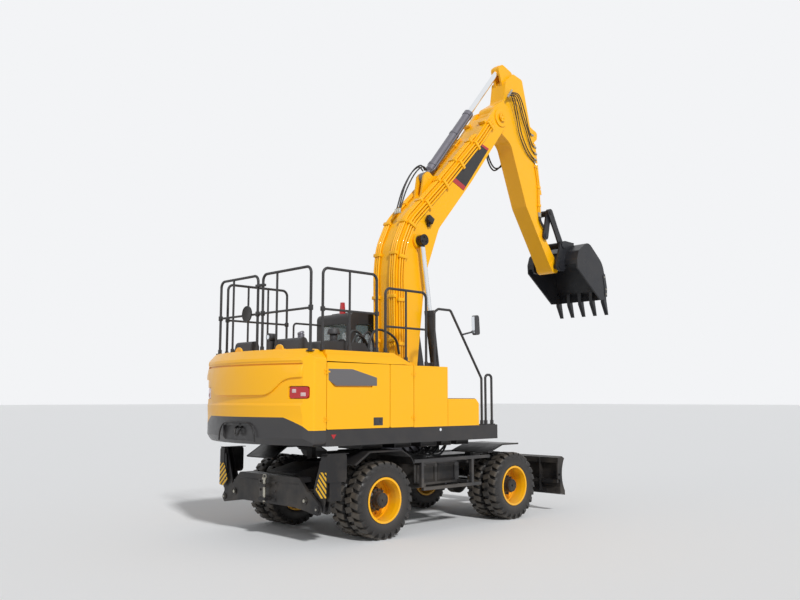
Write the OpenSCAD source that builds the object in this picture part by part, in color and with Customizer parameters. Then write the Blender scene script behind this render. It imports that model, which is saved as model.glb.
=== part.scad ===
// Wheeled excavator, parked with its boom raised and its bucket open.
// X points forward to the blade, Y to the cab side, Z up from the ground.
// Places along X are measured from the slewing axis; the whole machine is then moved by slew_x.

/* [Wheels and axles] */
// Outer diameter of a tyre over its lugs
tyre_d = 1055; // [950:5:1150]
// Width of one tyre
tyre_w = 278; // [240:2:290]
// Distance between the two tyres of a pair
twin_pitch = 320; // [300:2:340]
// Width over the outer tyres
overall_w = 2550; // [2480:10:2650]
// Outer radius of a rim flange
rim_r = 311; // [290:1:330]
// Height of a tyre lug
lug_h = 26; // [16:1:34]
// Lugs in one row of a tyre
lug_count = 18; // [14:2:22]
// Distance between the axles
wheelbase = 2850; // [2700:10:3000]
// Distance of the rear axle behind the slewing axis
rear_axle_back = 1200; // [1100:10:1300]
// Radius of an axle tube
axle_r = 95; // [80:1:110]
// Radius of a wheel spindle
spindle_r = 70; // [55:1:80]
// Radius of a kingpin
kingpin_r = 30; // [20:1:38]

/* [Chassis] */
// Half width of the frame between the wheels
frame_half = 330; // [280:5:380]
// Height of the frame's top plate
frame_top = 1000; // [960:5:1040]
// Radius of the slewing ring
ring_r = 620; // [560:5:680]
// Height of the mudguards' top
guard_top = 1200; // [1170:5:1215]
// Thickness of the mudguards' sheet
guard_t = 20; // [8:1:30]

/* [Blade] */
// Height of the blade's lower edge
blade_low = 278; // [230:5:340]
// Height of the blade
blade_h = 655; // [580:5:720]
// Thickness of the blade's sheet
blade_t = 30; // [20:1:45]
// Place of the blade's back face
blade_x = 2880; // [2820:5:2960]

/* [Outriggers] */
// Height of an outrigger's pivot
leg_pivot_z = 480; // [450:5:500]
// Distance of an outrigger's pivot from the centre line
leg_pivot_y = 1090; // [1060:5:1100]
// Place of the outrigger beam's back face
beam_x = -2250; // [-2290:5:-2200]
// Height of a foot pad
pad_h = 370; // [320:5:400]

/* [Upper body] */
// Half width of the upper body
body_half = 1250; // [1220:5:1265]
// Tail radius of the counterweight
tail_r = 2800; // [2750:10:2850]
// Height of the counterweight's top
hood_z = 2550; // [2500:5:2600]
// Height of the tank's top
tank_z = 2384; // [2330:2:2420]
// Thickness of a door or panel
door_t = 40; // [30:1:50]
// Height of the cab's roof
cab_z = 3300; // [3240:5:3360]
// Thickness of a cab wall
cab_wall = 60; // [45:1:75]

/* [Boom, arm and bucket] */
// Sideways place of the boom's centre plane
boom_y = -80; // [-90:1:-75]
// Width of the boom
boom_w = 500; // [470:2:504]
// Width of the arm
arm_w = 340; // [300:2:346]
// Width of the bucket
bucket_w = 1200; // [1100:10:1260]
// Thickness of the bucket's side plates and shell
bucket_t = 30; // [20:1:40]
// Number of bucket teeth
teeth = 5; // [4:1:6]
// Outer radius of a boom cylinder's barrel
boom_barrel_r = 72; // [62:1:78]
// Outer radius of the arm cylinder's barrel
arm_barrel_r = 82; // [70:1:88]
// Outer radius of the bucket cylinder's barrel
bucket_barrel_r = 68; // [58:1:74]
// Width of a cylinder's eye
eye_w = 96; // [86:1:98]
// Radius of the large pins
pin_r = 45; // [34:1:50]

/* [Hidden] */
$fn = 48;

yellow = [1.0, 0.74, 0.13];
black = [0.13, 0.13, 0.14];
grey = [0.32, 0.33, 0.35];
steel = [0.8, 0.8, 0.82];

// Place of the slewing axis along X, which puts the parked machine's middle over the origin
slew_x = -1376;
// Back face of the deck, where the counterweight hangs, and the panels' rear edge
rear_wall_x = 555 - tail_r;
side_x0 = rear_wall_x + 5;
// Top of the side doors' frame and the height of the chassis over the axles
shoulder_z = hood_z - 150;
arch_z = 790;
// Sideways place of a kingpin, inside the inner wheel
kingpin_y = overall_w / 2 - tyre_w - twin_pitch - 117;
// Running gap beside a moving eye or plate, and between a body panel and its neighbour
gap = 6;
seam = 5;
// Clearance of a pin or spindle in its bore, on the radius
fit_gap = 0.05;

wheel_z = tyre_d / 2;
rear_x = -rear_axle_back;
front_x = rear_x + wheelbase;
outer_y = overall_w / 2 - tyre_w / 2;
inner_y = outer_y - twin_pitch;
hub_y = (outer_y + inner_y) / 2;

deck_z0 = 1290;
deck_z1 = 1505;
deck_x1 = 1340;
floor_t = 40;
ring_z0 = 1120;
ring_z1 = 1235;

// Pins of the boom, the arm, the bucket and their cylinders, as [x, z]
boom_foot = [150, 2000];
boom_lift_base = [790, 1700];
boom_lift_eye = [380, 4470];
arm_lift_base = [815, 5660];
arm_pivot = [2590, 7090];
arm_lift_eye = [2840, 8140];
bucket_lift_base = [3850, 7080];
bucket_pin = [4300, 4490];
rocker_pin = [3978, 5067];
rocker_len = 473;
rocker_angle = 76;
ear_len = 457;
ear_angle = 73;
link_top = rocker_pin + rocker_len * [cos(rocker_angle), sin(rocker_angle)];
link_low = bucket_pin + ear_len * [cos(ear_angle), sin(ear_angle)];

// Pins of the blade and its cylinders
blade_pin = [2330, 600];
blade_lift_base = [2350, 900];
blade_lift_eye = [2810, 640];
blade_arm_y = 250;
blade_lift_y = 120;

// Pins of an outrigger and its cylinder, as [y, z]
leg_eye = [1010, 715];
leg_lift_base = [450, 640];

lift_y = boom_w / 2 + 46 + gap + eye_w / 2;

// Corner c of an outline as [x, y, r] becomes points on an arc of radius r
function unit(v) = v / norm(v);
function corner(a, b, c, n) =
    b[2] == 0 ? [[b[0], b[1]]] :
    let (
        p = [b[0], b[1]],
        u = unit([a[0], a[1]] - p),
        v = unit([c[0], c[1]] - p),
        half = acos(max(-1, min(1, u * v))) / 2,
        reach = b[2] / tan(half),
        m = p + unit(u + v) * b[2] / sin(half),
        s = p + u * reach - m,
        e = p + v * reach - m,
        a0 = atan2(s[1], s[0]),
        turn = atan2(s[0] * e[1] - s[1] * e[0], s * e)
    )
    [for (i = [0:n]) m + b[2] * [cos(a0 + turn * i / n), sin(a0 + turn * i / n)]];
function rounded(pts, n = 6) =
    [for (i = [0:len(pts) - 1])
        each corner(pts[(i + len(pts) - 1) % len(pts)], pts[i], pts[(i + 1) % len(pts)], n)];

// Moves the machine's own frame to the slewing axis
module at_slew() {
    translate([slew_x, 0, 0]) children();
}

// Plate or box whose outline lies in the XZ plane, from y0 to y1
module slab(pts, y0, y1) {
    translate([0, y1, 0]) rotate([90, 0, 0]) linear_extrude(y1 - y0) polygon(rounded(pts));
}

// Plate whose outline lies in the YZ plane, from x0 to x1
module sheet_x(pts, x0, x1) {
    translate([x0, 0, 0]) rotate([90, 0, 90]) linear_extrude(x1 - x0) polygon(rounded(pts));
}

// Plate whose outline lies in the XY plane, from z0 to z1
module sheet_z(pts, z0, z1) {
    translate([0, 0, z0]) linear_extrude(z1 - z0) polygon(rounded(pts));
}

module box(x0, x1, y0, y1, z0, z1) {
    translate([x0, y0, z0]) cube([x1 - x0, y1 - y0, z1 - z0]);
}

// Round bar along Y through p = [x, z]
module bar_y(p, r, y0, y1) {
    translate([p[0], y1, p[1]]) rotate([90, 0, 0]) cylinder(r = r, h = y1 - y0);
}

module bar_x(y, z, r, x0, x1) {
    translate([x0, y, z]) rotate([0, 90, 0]) cylinder(r = r, h = x1 - x0);
}

module bar_z(x, y, r, z0, z1) {
    translate([x, y, z0]) cylinder(r = r, h = z1 - z0);
}

// Revolves an outline of [radius, y] about the Y axis through p = [x, z]
module turned(p, pts) {
    translate([p[0], 0, p[1]]) rotate([-90, 0, 0]) rotate_extrude() polygon(pts);
}

// Round bar from a to b, both [x, y, z]
module bar(a, b, r) {
    d = b - a;
    translate(a) rotate([0, acos(d[2] / norm(d)), atan2(d[1], d[0])]) cylinder(r = r, h = norm(d));
}

// Round tube through the points of pts, with its corners bent to the radius bend
module tube(pts, r, bend) {
    n = len(pts);
    way = [for (i = [0:n - 2]) unit(pts[i + 1] - pts[i])];
    half = [for (i = [0:n - 2]) i == 0 ? 0 : acos(way[i - 1] * way[i]) / 2];
    over = 3;
    for (i = [0:n - 2])
        bar(pts[i] + way[i] * (i == 0 ? 0 : bend * tan(half[i]) - over),
            pts[i + 1] - way[i] * (i == n - 2 ? 0 : bend * tan(half[i + 1]) - over), r);
    for (i = [1:n - 2]) {
        mid = pts[i] + unit(way[i] - way[i - 1]) * bend / cos(half[i]);
        x = unit(pts[i] - way[i - 1] * bend * tan(half[i]) - mid);
        y = way[i - 1];
        z = cross(x, y);
        multmatrix([[x[0], y[0], z[0], mid[0]], [x[1], y[1], z[1], mid[1]], [x[2], y[2], z[2], mid[2]],
            [0, 0, 0, 1]])
            rotate_extrude(angle = 2 * half[i]) translate([bend, 0]) circle(r + 0.6);
    }
}

module mirror_y(left) {
    mirror([0, left ? 0 : 1, 0]) children();
}

// Cylinder barrel from a to its mouth, with an eye at a; a and b are [x, z], y is its centre plane
module barrel(a, b, y, r, len, eye_r, pin) {
    ang = atan2(b[1] - a[1], b[0] - a[0]);
    neck = eye_r * 1.25 + 45;
    translate([a[0], y, a[1]]) rotate([0, -ang, 0]) {
        difference() {
            union() {
                rotate([90, 0, 0]) translate([0, 0, -eye_w / 2]) cylinder(r = eye_r, h = eye_w);
                translate([eye_r * 0.6, 0, 0]) rotate([0, 90, 0]) cylinder(r = eye_w / 2 - 1, h = neck);
                translate([neck, 0, 0]) rotate([0, 90, 0]) cylinder(r1 = eye_w / 2 - 1, r2 = r, h = 30);
                translate([neck + 30, 0, 0]) rotate([0, 90, 0]) cylinder(r = r, h = len - neck - 30);
                translate([len - 90, 0, 0]) rotate([0, 90, 0]) cylinder(r = r + 9, h = 90);
            }
            rotate([90, 0, 0]) translate([0, 0, -eye_w]) cylinder(r = pin + fit_gap, h = 2 * eye_w);
            translate([neck + 15, 0, 0]) rotate([0, 90, 0]) cylinder(r = r * 0.62 + fit_gap, h = len);
        }
    }
}

// Piston rod that starts inside the barrel at distance inside from a and ends in an eye at b
module rod(a, b, y, r, inside, eye_r, pin, stub) {
    d = norm(b - a);
    ang = atan2(b[1] - a[1], b[0] - a[0]);
    translate([a[0], y, a[1]]) rotate([0, -ang, 0]) {
        translate([inside, 0, 0]) rotate([0, 90, 0]) cylinder(r = r, h = d - inside - eye_r * 0.6);
        translate([d, 0, 0]) rotate([90, 0, 0]) translate([0, 0, -eye_w / 2]) cylinder(r = eye_r, h = eye_w);
        translate([d, 0, 0]) rotate([90, 0, 0]) translate([0, 0, -stub]) cylinder(r = pin, h = 2 * stub);
    }
}

module tyre(x, y) {
    half = tyre_w / 2;
    top = tyre_d / 2 - lug_h;
    translate([x, y, wheel_z]) rotate([-90, 0, 0]) {
        rotate_extrude($fn = 40) polygon([
            [rim_r - 14, -half + 34], [rim_r + 0.5, -half + 22], [rim_r + 18, -half + 10],
            [rim_r + 90, -half],
            [top - 36, -half + 6], [top, -half + 26], [top, half - 26], [top - 36, half - 6],
            [rim_r + 90, half], [rim_r + 18, half - 10], [rim_r + 0.5, half - 22], [rim_r - 14, half - 34]
        ]);
        for (row = [0, 1], i = [0:lug_count - 1])
            mirror([0, 0, row]) rotate(360 / lug_count * (i + row / 2)) tread_lug(top, half - 16);
    }
}

// One lug, laid from near the tyre's centre line out to its shoulder
module tread_lug(top, w) {
    wide = PI * tyre_d / lug_count * 0.6;
    crown = sqrt(tyre_d * tyre_d / 4 - wide * wide / 4);
    translate([crown, 0, 0]) rotate([0, -90, 0]) linear_extrude(crown - top + 14) polygon([
        [6, -wide * 0.36], [w * 0.55, -wide * 0.42], [w, -wide / 2], [w, wide * 0.26], [w * 0.5, wide / 2],
        [6, wide * 0.4]
    ]);
}

module tyre_pair(front, left) {
    x = front ? front_x : rear_x;
    at_slew() color(black) mirror_y(left) {
        tyre(x, outer_y);
        tyre(x, inner_y);
    }
}

// Twin rims bolted back to back on one hub
module rim_pair(front, left) {
    x = front ? front_x : rear_x;
    flange = tyre_w / 2 - 16;
    seat = rim_r - 15;
    at_slew() color(yellow) mirror_y(left) difference() {
        union() {
            for (side = [[outer_y, 1], [inner_y, -1]])
                translate([0, side[0], 0]) turned([x, wheel_z], [for (p = [
                    [rim_r, flange], [seat, flange - 12], [seat, 12 - flange], [rim_r, -flange],
                    [seat - 14, -flange],
                    [seat - 26, 90 - flange], [seat - 26, flange - 70], [seat - 14, flange]
                ]) [p[0], side[1] * p[1]]]);
            turned([x, wheel_z], [[0, hub_y - 22], [seat - 10, hub_y - 22], [seat - 10, hub_y + 22],
                [0, hub_y + 22]]);
            turned([x, wheel_z], [
                [0, inner_y - tyre_w / 2 + 12], [165, inner_y - tyre_w / 2 + 12], [175, hub_y],
                [150, hub_y + 110], [118, hub_y + 130], [112, hub_y + 178], [40, hub_y + 190],
                [0, hub_y + 190]
            ]);
            for (s = [[outer_y, 1], [inner_y, -1]])
                turned([x, wheel_z], [
                    [seat - 26, s[0] - s[1] * (flange - 20)], [seat - 10, s[0] - s[1] * (flange - 20)],
                    [seat - 10, hub_y], [seat - 26, hub_y]
                ]);
        }
        bar_y([x, wheel_z], spindle_r + fit_gap, 0, hub_y + 20);
        for (i = [0:9])
            translate([x, hub_y - 60, wheel_z]) rotate([0, i * 36, 0]) translate([205, 0, 0])
                rotate([-90, 0, 0]) cylinder(r = 22, h = 160, $fn = 24);
    }
}

module tyres_front_left() { tyre_pair(true, true); }
module tyres_front_right() { tyre_pair(true, false); }
module tyres_rear_left() { tyre_pair(false, true); }
module tyres_rear_right() { tyre_pair(false, false); }
module rims_front_left() { rim_pair(true, true); }
module rims_front_right() { rim_pair(true, false); }
module rims_rear_left() { rim_pair(false, true); }
module rims_rear_right() { rim_pair(false, false); }

yoke_z = 170;
yoke_t = 40;
yoke_r = 72;
steer_back = 250;
steer_z = wheel_z + 112;

module axle_core(x) {
    bar_y([x, wheel_z], axle_r, -kingpin_y + 90, kingpin_y - 90);
    turned([x, wheel_z], [[0, -170], [120, -170], [205, -70], [205, 70], [120, 170], [0, 170]]);
    for (s = [-1, 1])
        box(x - 90, x + 90, s * frame_half - 60, s * frame_half + 60, wheel_z + axle_r - 20, arch_z);
}

module front_axle() {
    at_slew() color(black) difference() {
        union() {
            axle_core(front_x);
            for (s = [-1, 1]) {
                translate([0, s * (kingpin_y - 130), 0])
                    box(front_x - 75, front_x + 75, -40, 40, wheel_z - yoke_z, wheel_z + yoke_z);
                for (z = [wheel_z - yoke_z, wheel_z + yoke_z - yoke_t]) {
                    bar_z(front_x, s * kingpin_y, yoke_r, z, z + yoke_t);
                    box(front_x - yoke_r, front_x + yoke_r, min(s * kingpin_y, s * (kingpin_y - 150)),
                        max(s * kingpin_y, s * (kingpin_y - 150)), z, z + yoke_t);
                }
            }
            bar_y([front_x - steer_back, steer_z], 46, -190, 190);
            box(front_x - steer_back, front_x - 60, -150, 150, steer_z - 25, steer_z + 25);
        }
        for (s = [-1, 1]) bar_z(front_x, s * kingpin_y, kingpin_r + fit_gap, 200, 900);
        bar_y([front_x - steer_back, steer_z], 26 + fit_gap, -400, 400);
    }
}

module rear_axle() {
    at_slew() color(black) {
        axle_core(rear_x);
        for (s = [-1, 1]) {
            y0 = kingpin_y - 90;
            y1 = inner_y - tyre_w / 2 + 6;
            bar_y([rear_x, wheel_z], 120, min(s * y0, s * y1), max(s * y0, s * y1));
            bar_y([rear_x, wheel_z], spindle_r, min(s * y1, s * (hub_y + 10)), max(s * y1, s * (hub_y + 10)));
        }
        box(rear_x + 150, rear_x + 560, -170, 170, wheel_z - 130, wheel_z + 58);
        bar_x(0, wheel_z - 20, 45, rear_x + 560, front_x - 230);
        bar_x(0, wheel_z - 20, 90, rear_x + 560, rear_x + 620);
        bar_x(0, wheel_z - 20, 80, front_x - 310, front_x - 207);
    }
}

module knuckle(left) {
    at_slew() color(black) mirror_y(left) {
        bar_z(front_x, kingpin_y, yoke_r - 6, wheel_z - yoke_z + yoke_t + 2, wheel_z + yoke_z - yoke_t - 2);
        bar_z(front_x, kingpin_y, kingpin_r, wheel_z - yoke_z - 8, wheel_z + yoke_z + 8);
        bar_y([front_x, wheel_z], 100, kingpin_y + 22, inner_y - tyre_w / 2 + 6);
        bar_y([front_x, wheel_z], spindle_r, kingpin_y + 40, hub_y + 10);
        difference() {
            slab([
                [front_x - steer_back - 42, steer_z - 62, 10], [front_x - 20, steer_z - 62, 0],
                [front_x - 20, steer_z - 28, 0], [front_x - steer_back - 42, steer_z - 28, 10]
            ], kingpin_y - 34, kingpin_y + 34);
        }
        bar_z(front_x - steer_back, kingpin_y, 18, steer_z - 62, steer_z - 24);
    }
}

module knuckle_left() { knuckle(true); }
module knuckle_right() { knuckle(false); }

module steering_rod() {
    at_slew() color(steel) {
        bar_y([front_x - steer_back, steer_z], 26, -(kingpin_y - 40), kingpin_y - 40);
        for (s = [-1, 1]) bar_z(front_x - steer_back, s * kingpin_y, 42, steer_z - 20, steer_z + 24);
    }
}

module chassis_frame() {
    x0 = beam_x + 200;
    x1 = blade_pin[0] - 75;
    at_slew() color(black) difference() {
        union() {
            slab([
                [x0, 560, 0], [x0 + 420, 560, 30], [rear_x - 330, 700, 60], [rear_x - 120, arch_z, 0],
                [rear_x + 260, arch_z, 60], [rear_x + 480, 600, 60], [front_x - 700, 600, 60],
                [front_x - 330, arch_z, 60], [front_x + 200, arch_z, 60], [front_x + 420, 560, 30],
                [x1, 560, 0],
                [x1, 960, 60], [front_x + 300, frame_top, 0], [rear_x - 300, frame_top, 0], [x0, 880, 0]
            ], -frame_half, frame_half);
            slab([[-640, 620, 40], [660, 620, 40], [660, frame_top, 0], [-640, frame_top, 0]], -440, 440);
            bar_z(0, 0, ring_r + 20, frame_top - 60, ring_z0);
            for (s = [-1, 1]) {
                box(x1 - 120, x1, s * blade_arm_y - 85, s * blade_arm_y - 45, 520, 700);
                for (p = [-62, 38])
                    slab([
                        [x1 - 80, 520, 20], [blade_pin[0] + 60, 520, 40], [blade_pin[0] + 60, 680, 40],
                        [x1 - 80, 700, 20]
                    ], s * blade_arm_y + p, s * blade_arm_y + p + 24);
                for (p = [-eye_w / 2 - 24 - gap, eye_w / 2 + gap])
                    slab([
                        [x1 - 80, 800, 0], [blade_lift_base[0] + 50, 850, 40],
                        [blade_lift_base[0] + 50, 955, 40], [x1 - 80, 955, 0]
                    ], s * blade_lift_y + p, s * blade_lift_y + p + 24);
                bar_y(blade_lift_base, 24, s * blade_lift_y - eye_w / 2 - 24 - gap,
                    s * blade_lift_y + eye_w / 2 + 24 + gap);
            }
        }
        for (s = [-1, 1]) bar_y(blade_pin, 30 + fit_gap, s * blade_arm_y - 90, s * blade_arm_y + 90);
        bar_x(0, wheel_z - 20, 60, rear_x, front_x);
        bar_z(0, 0, 330, 400, ring_z0 + 10);
    }
}

module slew_ring() {
    at_slew() color(grey) difference() {
        bar_z(0, 0, ring_r, ring_z0, ring_z1);
        bar_z(0, 0, ring_r - 150, ring_z0 - 10, ring_z1 + 10);
        difference() {
            bar_z(0, 0, ring_r + 20, ring_z0 + 52, ring_z0 + 62);
            bar_z(0, 0, ring_r - 12, ring_z0 + 40, ring_z0 + 80);
        }
    }
}

// Mudguards as [x of the ends and bends, z], with the axle and the inner edge
guards = [
    // outline of the sheet's top, inner y
    [[[-1760, 1040], [-1490, guard_top], [-890, guard_top], [-720, 1110], [-640, 1000]], 600],
    [[[980, 1085], [1340, guard_top], [1745, guard_top]], 500]
];

module mudguards() {
    at_slew() color(black) for (left = [true, false]) mirror_y(left) for (g = guards) {
        top = g[0];
        n = len(top);
        union() {
            slab(concat(
                [for (p = top) [p[0], p[1], 0]],
                [for (i = [n - 1:-1:0]) [top[i][0] + (i == 0 ? 12 : i == n - 1 ? -12 : 0),
                top[i][1] - guard_t, 0]]
            ), g[1], overall_w / 2);
            box((top[1][0] + top[2][0]) / 2 - 40, (top[1][0] + top[2][0]) / 2 + 40, 440, g[1] + 60,
                guard_top - 60, guard_top - guard_t);
            box((top[1][0] + top[2][0]) / 2 - 40, (top[1][0] + top[2][0]) / 2 + 40, frame_half, 450,
                940, guard_top - guard_t);
        }
    }
}

module side_steps() {
    y1 = body_half;
    y0 = y1 - 250;
    at_slew() color(grey) for (left = [true, false]) mirror_y(left) {
        box(-620, 1050, y1 - 50, y1, 1000, 1045);
        box(-430, 840, y1 - 50, y1, 600, 645);
        for (x = [-450, 640]) box(x - 25, x + 25, y1 - 50, y1, 645, 1000);
        box(-380, 600, y0 - 300, y0, 645, 985);
        for (x = [-300, 500]) box(x - 40, x + 40, 440, y0 - 300, 760, 860);
        for (x = [-380, 560], z = [645, 945]) box(x, x + 40, y0, y1 - 50, z, z + 40);
        difference() {
            box(120, 820, y0 + 10, y1 - 50, 604, 618);
            for (i = [0:8], j = [0:2]) box(150 + i * 74, 196 + i * 74, y0 + 30 + j * 54, y0 + 64 + j * 54,
                600, 622);
        }
    }
}

module outrigger_beam() {
    at_slew() color(black) difference() {
        union() {
            sheet_x([
                [-940, 430, 0], [-940, 640, 60], [-700, 860, 60], [700, 860, 60], [940, 640, 60],
                [940, 430, 0],
                [600, 470, 0], [-600, 470, 0]
            ], beam_x, beam_x + 200);
            for (s = [-1, 1], x = [beam_x, beam_x + 160])
                sheet_x([
                    [s * 900, 430, 0], [s * (leg_pivot_y + 20), 400, 40], [s * (leg_pivot_y + 70), 480, 50],
                    [s * (leg_pivot_y + 10), 570, 50], [s * 900, 700, 0]
                ], x, x + 40);
            box(beam_x - 110, beam_x, -75, 75, 700, 740);
            box(beam_x - 110, beam_x, -75, 75, 520, 560);
        }
        bar_z(beam_x - 60, 0, 25, 500, 760);
        for (s = [-1, 1]) {
            box(beam_x + 40, beam_x + 160, min(s * 390, s * 1200), max(s * 390, s * 1200), 300, 800);
            bar_x(s * leg_pivot_y, leg_pivot_z, leg_pin_r + fit_gap, beam_x - 10, beam_x + 210);
        }
    }
    at_slew() color(steel) for (s = [-1, 1])
        bar_x(s * leg_lift_base[0], leg_lift_base[1], leg_pin_r * 0.6, beam_x + 30, beam_x + 170);
}

leg_pin_r = 34;
leg_x0 = beam_x + 46;
leg_x1 = beam_x + 154;

module outrigger(left) {
    at_slew() color(black) mirror_y(left) union() {
        for (x = [leg_x0, leg_x1 - 24])
            sheet_x([
                [leg_pivot_y - 62, leg_pivot_z - 30, 40], [leg_pivot_y + 62, leg_pivot_z - 40, 40],
                [1232, 830, 30], [1232, 1190, 20], [1130, 1190, 30], [leg_eye[0] - 45, leg_eye[1] + 30, 30],
                [leg_eye[0] - 40, leg_eye[1] - 50, 30]
            ], x, x + 24);
        // column, and the foot that stands on the ground when the leg is down
        sheet_x([[1190, 590, 0], [1250, 590, 0], [1250, 860, 0], [1190, 860, 0]], leg_x0 + 30, leg_x1 + 120);
        difference() {
            slab([
                [leg_x0 - 34, 1010 - pad_h / 2, 50], [leg_x1 + 200, 1010 - pad_h / 2, 50],
                [leg_x1 + 200, 1010 + pad_h / 2, 50], [leg_x0 - 34, 1010 + pad_h / 2, 50]
            ], 1150, 1262);
            box(leg_x0 + 24, leg_x1 - 24, 1100, 1200, 700, 1180);
        }
        sheet_x([[leg_eye[0] + 60, 800, 0], [1152, 860, 0], [1152, 1100, 0], [1112, 1100, 0]],
            leg_x0 - 26, leg_x0 - 14);
        bar_x(leg_pivot_y, leg_pivot_z, leg_pin_r, beam_x - 8, beam_x + 208);
    }
}

module outrigger_left() { outrigger(true); }
module outrigger_right() { outrigger(false); }

module outrigger_barrel(left) {
    d = norm(leg_eye - leg_lift_base);
    ang = atan2(leg_eye[1] - leg_lift_base[1], leg_eye[0] - leg_lift_base[0]);
    at_slew() color(black) mirror_y(left)
        translate([beam_x + 100, leg_lift_base[0], leg_lift_base[1]]) rotate([ang, 0, 0]) difference() {
            union() {
                rotate([-90, 0, 0]) cylinder(r = 26, h = d - 90);
                rotate([0, 90, 0]) translate([0, 0, -24]) cylinder(r = 40, h = 48);
            }
            rotate([-90, 0, 0]) translate([0, 0, 60]) cylinder(r = 16 + fit_gap, h = d);
            rotate([0, 90, 0]) translate([0, 0, -60]) cylinder(r = leg_pin_r * 0.6 + fit_gap, h = 120);
        }
}

module outrigger_rod(left) {
    d = norm(leg_eye - leg_lift_base);
    ang = atan2(leg_eye[1] - leg_lift_base[1], leg_eye[0] - leg_lift_base[0]);
    at_slew() color(steel) mirror_y(left)
        translate([beam_x + 100, leg_lift_base[0], leg_lift_base[1]]) rotate([ang, 0, 0]) {
            rotate([-90, 0, 0]) translate([0, 0, 70]) cylinder(r = 16, h = d - 90);
            translate([0, d, 0]) rotate([0, 90, 0]) translate([0, 0, -22]) cylinder(r = 28, h = 44);
        }
}

module outrigger_barrel_left() { outrigger_barrel(true); }
module outrigger_barrel_right() { outrigger_barrel(false); }
module outrigger_rod_left() { outrigger_rod(true); }
module outrigger_rod_right() { outrigger_rod(false); }

module dozer_blade() {
    top = blade_low + blade_h;
    mid = blade_low + blade_h / 2;
    half = overall_w / 2;
    bow = 520;
    at_slew() color(black) difference() {
        union() {
            difference() {
                slab([[blade_x, blade_low + 40, 0], [blade_x + 130, blade_low, 0],
                    [blade_x + 130, top - 40, 0],
                      [blade_x + 60, top, 0], [blade_x, top - 20, 0]], -half, half);
                bar_y([blade_x + blade_t + 22 + bow, mid + 20], bow, -half - 1, half + 1);
            }
            box(blade_x - 60, blade_x + 10, -half, half, top - 110, top - 20);
            box(blade_x - 60, blade_x + 10, -half + 20, half - 20, mid - 120, mid - 60);
            for (s = [-1, 1])
                slab([[blade_x - 70, mid - 60, 40], [blade_x + 20, mid - 60, 0], [blade_x + 20, top - 100, 0],
                      [blade_x - 70, top - 100, 0]], s * (half - 13) - 12, s * (half - 13) + 12);
            for (s = [-1, 1]) {
                slab([
                    [blade_pin[0] - 60, blade_pin[1] - 60, 50], [blade_x + 10, mid - 150, 0],
                    [blade_x + 10, mid + 40, 0],
                    [blade_x - 120, mid + 60, 30], [blade_pin[0] - 60, blade_pin[1] + 60, 50]
                ], s * blade_arm_y - 32, s * blade_arm_y + 32);
                bar_y(blade_pin, 30, s * blade_arm_y - 66, s * blade_arm_y + 66);
                for (p = [-eye_w / 2 - 22 - gap, eye_w / 2 + gap])
                    slab([
                        [blade_lift_eye[0] - 40, blade_lift_eye[1] - 50, 30],
                        [blade_x + 10, blade_lift_eye[1] - 90, 0],
                        [blade_x + 10, blade_lift_eye[1] + 90, 0],
                        [blade_lift_eye[0] - 40, blade_lift_eye[1] + 50, 30]
                    ], s * blade_lift_y + p, s * blade_lift_y + p + 22);
            }
        }
        for (s = [-1, 1]) bar_y([blade_x - 30, mid + 20], 24, s * (half - 13) - 30, s * (half - 13) + 30);
    }
}

module blade_cylinder_barrels() {
    at_slew() color(black) for (s = [-1, 1])
        barrel(blade_lift_base, blade_lift_eye, s * blade_lift_y, 50, 400, 46, 24);
}

module blade_cylinder_rods() {
    at_slew() color(steel) for (s = [-1, 1])
        rod(blade_lift_base, blade_lift_eye, s * blade_lift_y, 31, 180, 42, 22, eye_w / 2 + 4);
}

module boom_bracket(side) {
    y0 = boom_w / 2 + gap;
    translate([0, boom_y, 0]) mirror([0, side > 0 ? 0 : 1, 0]) difference() {
        slab([
            [-330, deck_z1 - floor_t, 0], [-60, 2060, 120], [boom_foot[0] + 20, 2190, 140],
            [boom_foot[0] + 190, 2020, 120], [600, 1810, 120], [boom_lift_base[0] + 120, 1800, 90],
            [boom_lift_base[0] + 150, deck_z1 - floor_t, 0]
        ], y0, y0 + 40);
        bar_y(boom_foot, pin_r + 10 + fit_gap, 0, y0 + 50);
        bar_y(boom_lift_base, pin_r + fit_gap, 0, y0 + 50);
    }
}

module upper_deck() {
    x0 = rear_wall_x;
    at_slew() color(black) union() {
        sheet_z([[x0, -body_half, 0], [deck_x1 - 95, -body_half, 0], [deck_x1, -body_half + 120, 60],
            [deck_x1, 1240, 60],
                 [x0, body_half, 0]], deck_z1 - floor_t, deck_z1);
        difference() {
            sheet_z([[x0, -body_half, 0], [deck_x1 - 95, -body_half, 0], [deck_x1, -body_half + 120, 60],
                [deck_x1, 1240, 60],
                     [x0, body_half, 0]], deck_z0, deck_z1 - floor_t);
            sheet_z([[x0 + 50, -body_half + 50, 0], [deck_x1 - 125, -body_half + 50, 0],
                [deck_x1 - 50, 1190, 0],
                     [x0 + 50, body_half - 50, 0]], deck_z0 - 1, deck_z1 - floor_t + 1);
        }
        box(-1500, 1000, -420, 420, deck_z0, deck_z1 - floor_t);
        for (y = [-300, 300]) box(x0 + 50, -1500, y - 60, y + 60, deck_z0, deck_z1 - floor_t);
        for (x = [-1000, 300]) for (s = [-1, 1])
            box(x - 50, x + 50, min(s * 420, s * 1200), max(s * 420, s * 1200), deck_z0 + 30,
                deck_z1 - floor_t);
        bar_z(0, 0, ring_r - 60, ring_z1 + 0.3, deck_z0);
        boom_bracket(1);
        boom_bracket(-1);
        bar_y(boom_foot, pin_r + 10, boom_y - boom_w / 2 - gap - 52, boom_y + boom_w / 2 + gap + 52);
        for (s = [-1, 1])
            bar_y(boom_lift_base, pin_r, boom_y + (s > 0 ? boom_w / 2 + gap : -lift_y - eye_w / 2 - gap - 12),
                boom_y + (s > 0 ? lift_y + eye_w / 2 + gap + 12 : -boom_w / 2 - gap));
    }
}

// Depth of a tail lamp's pocket
lamp_depth = 50;

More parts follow.
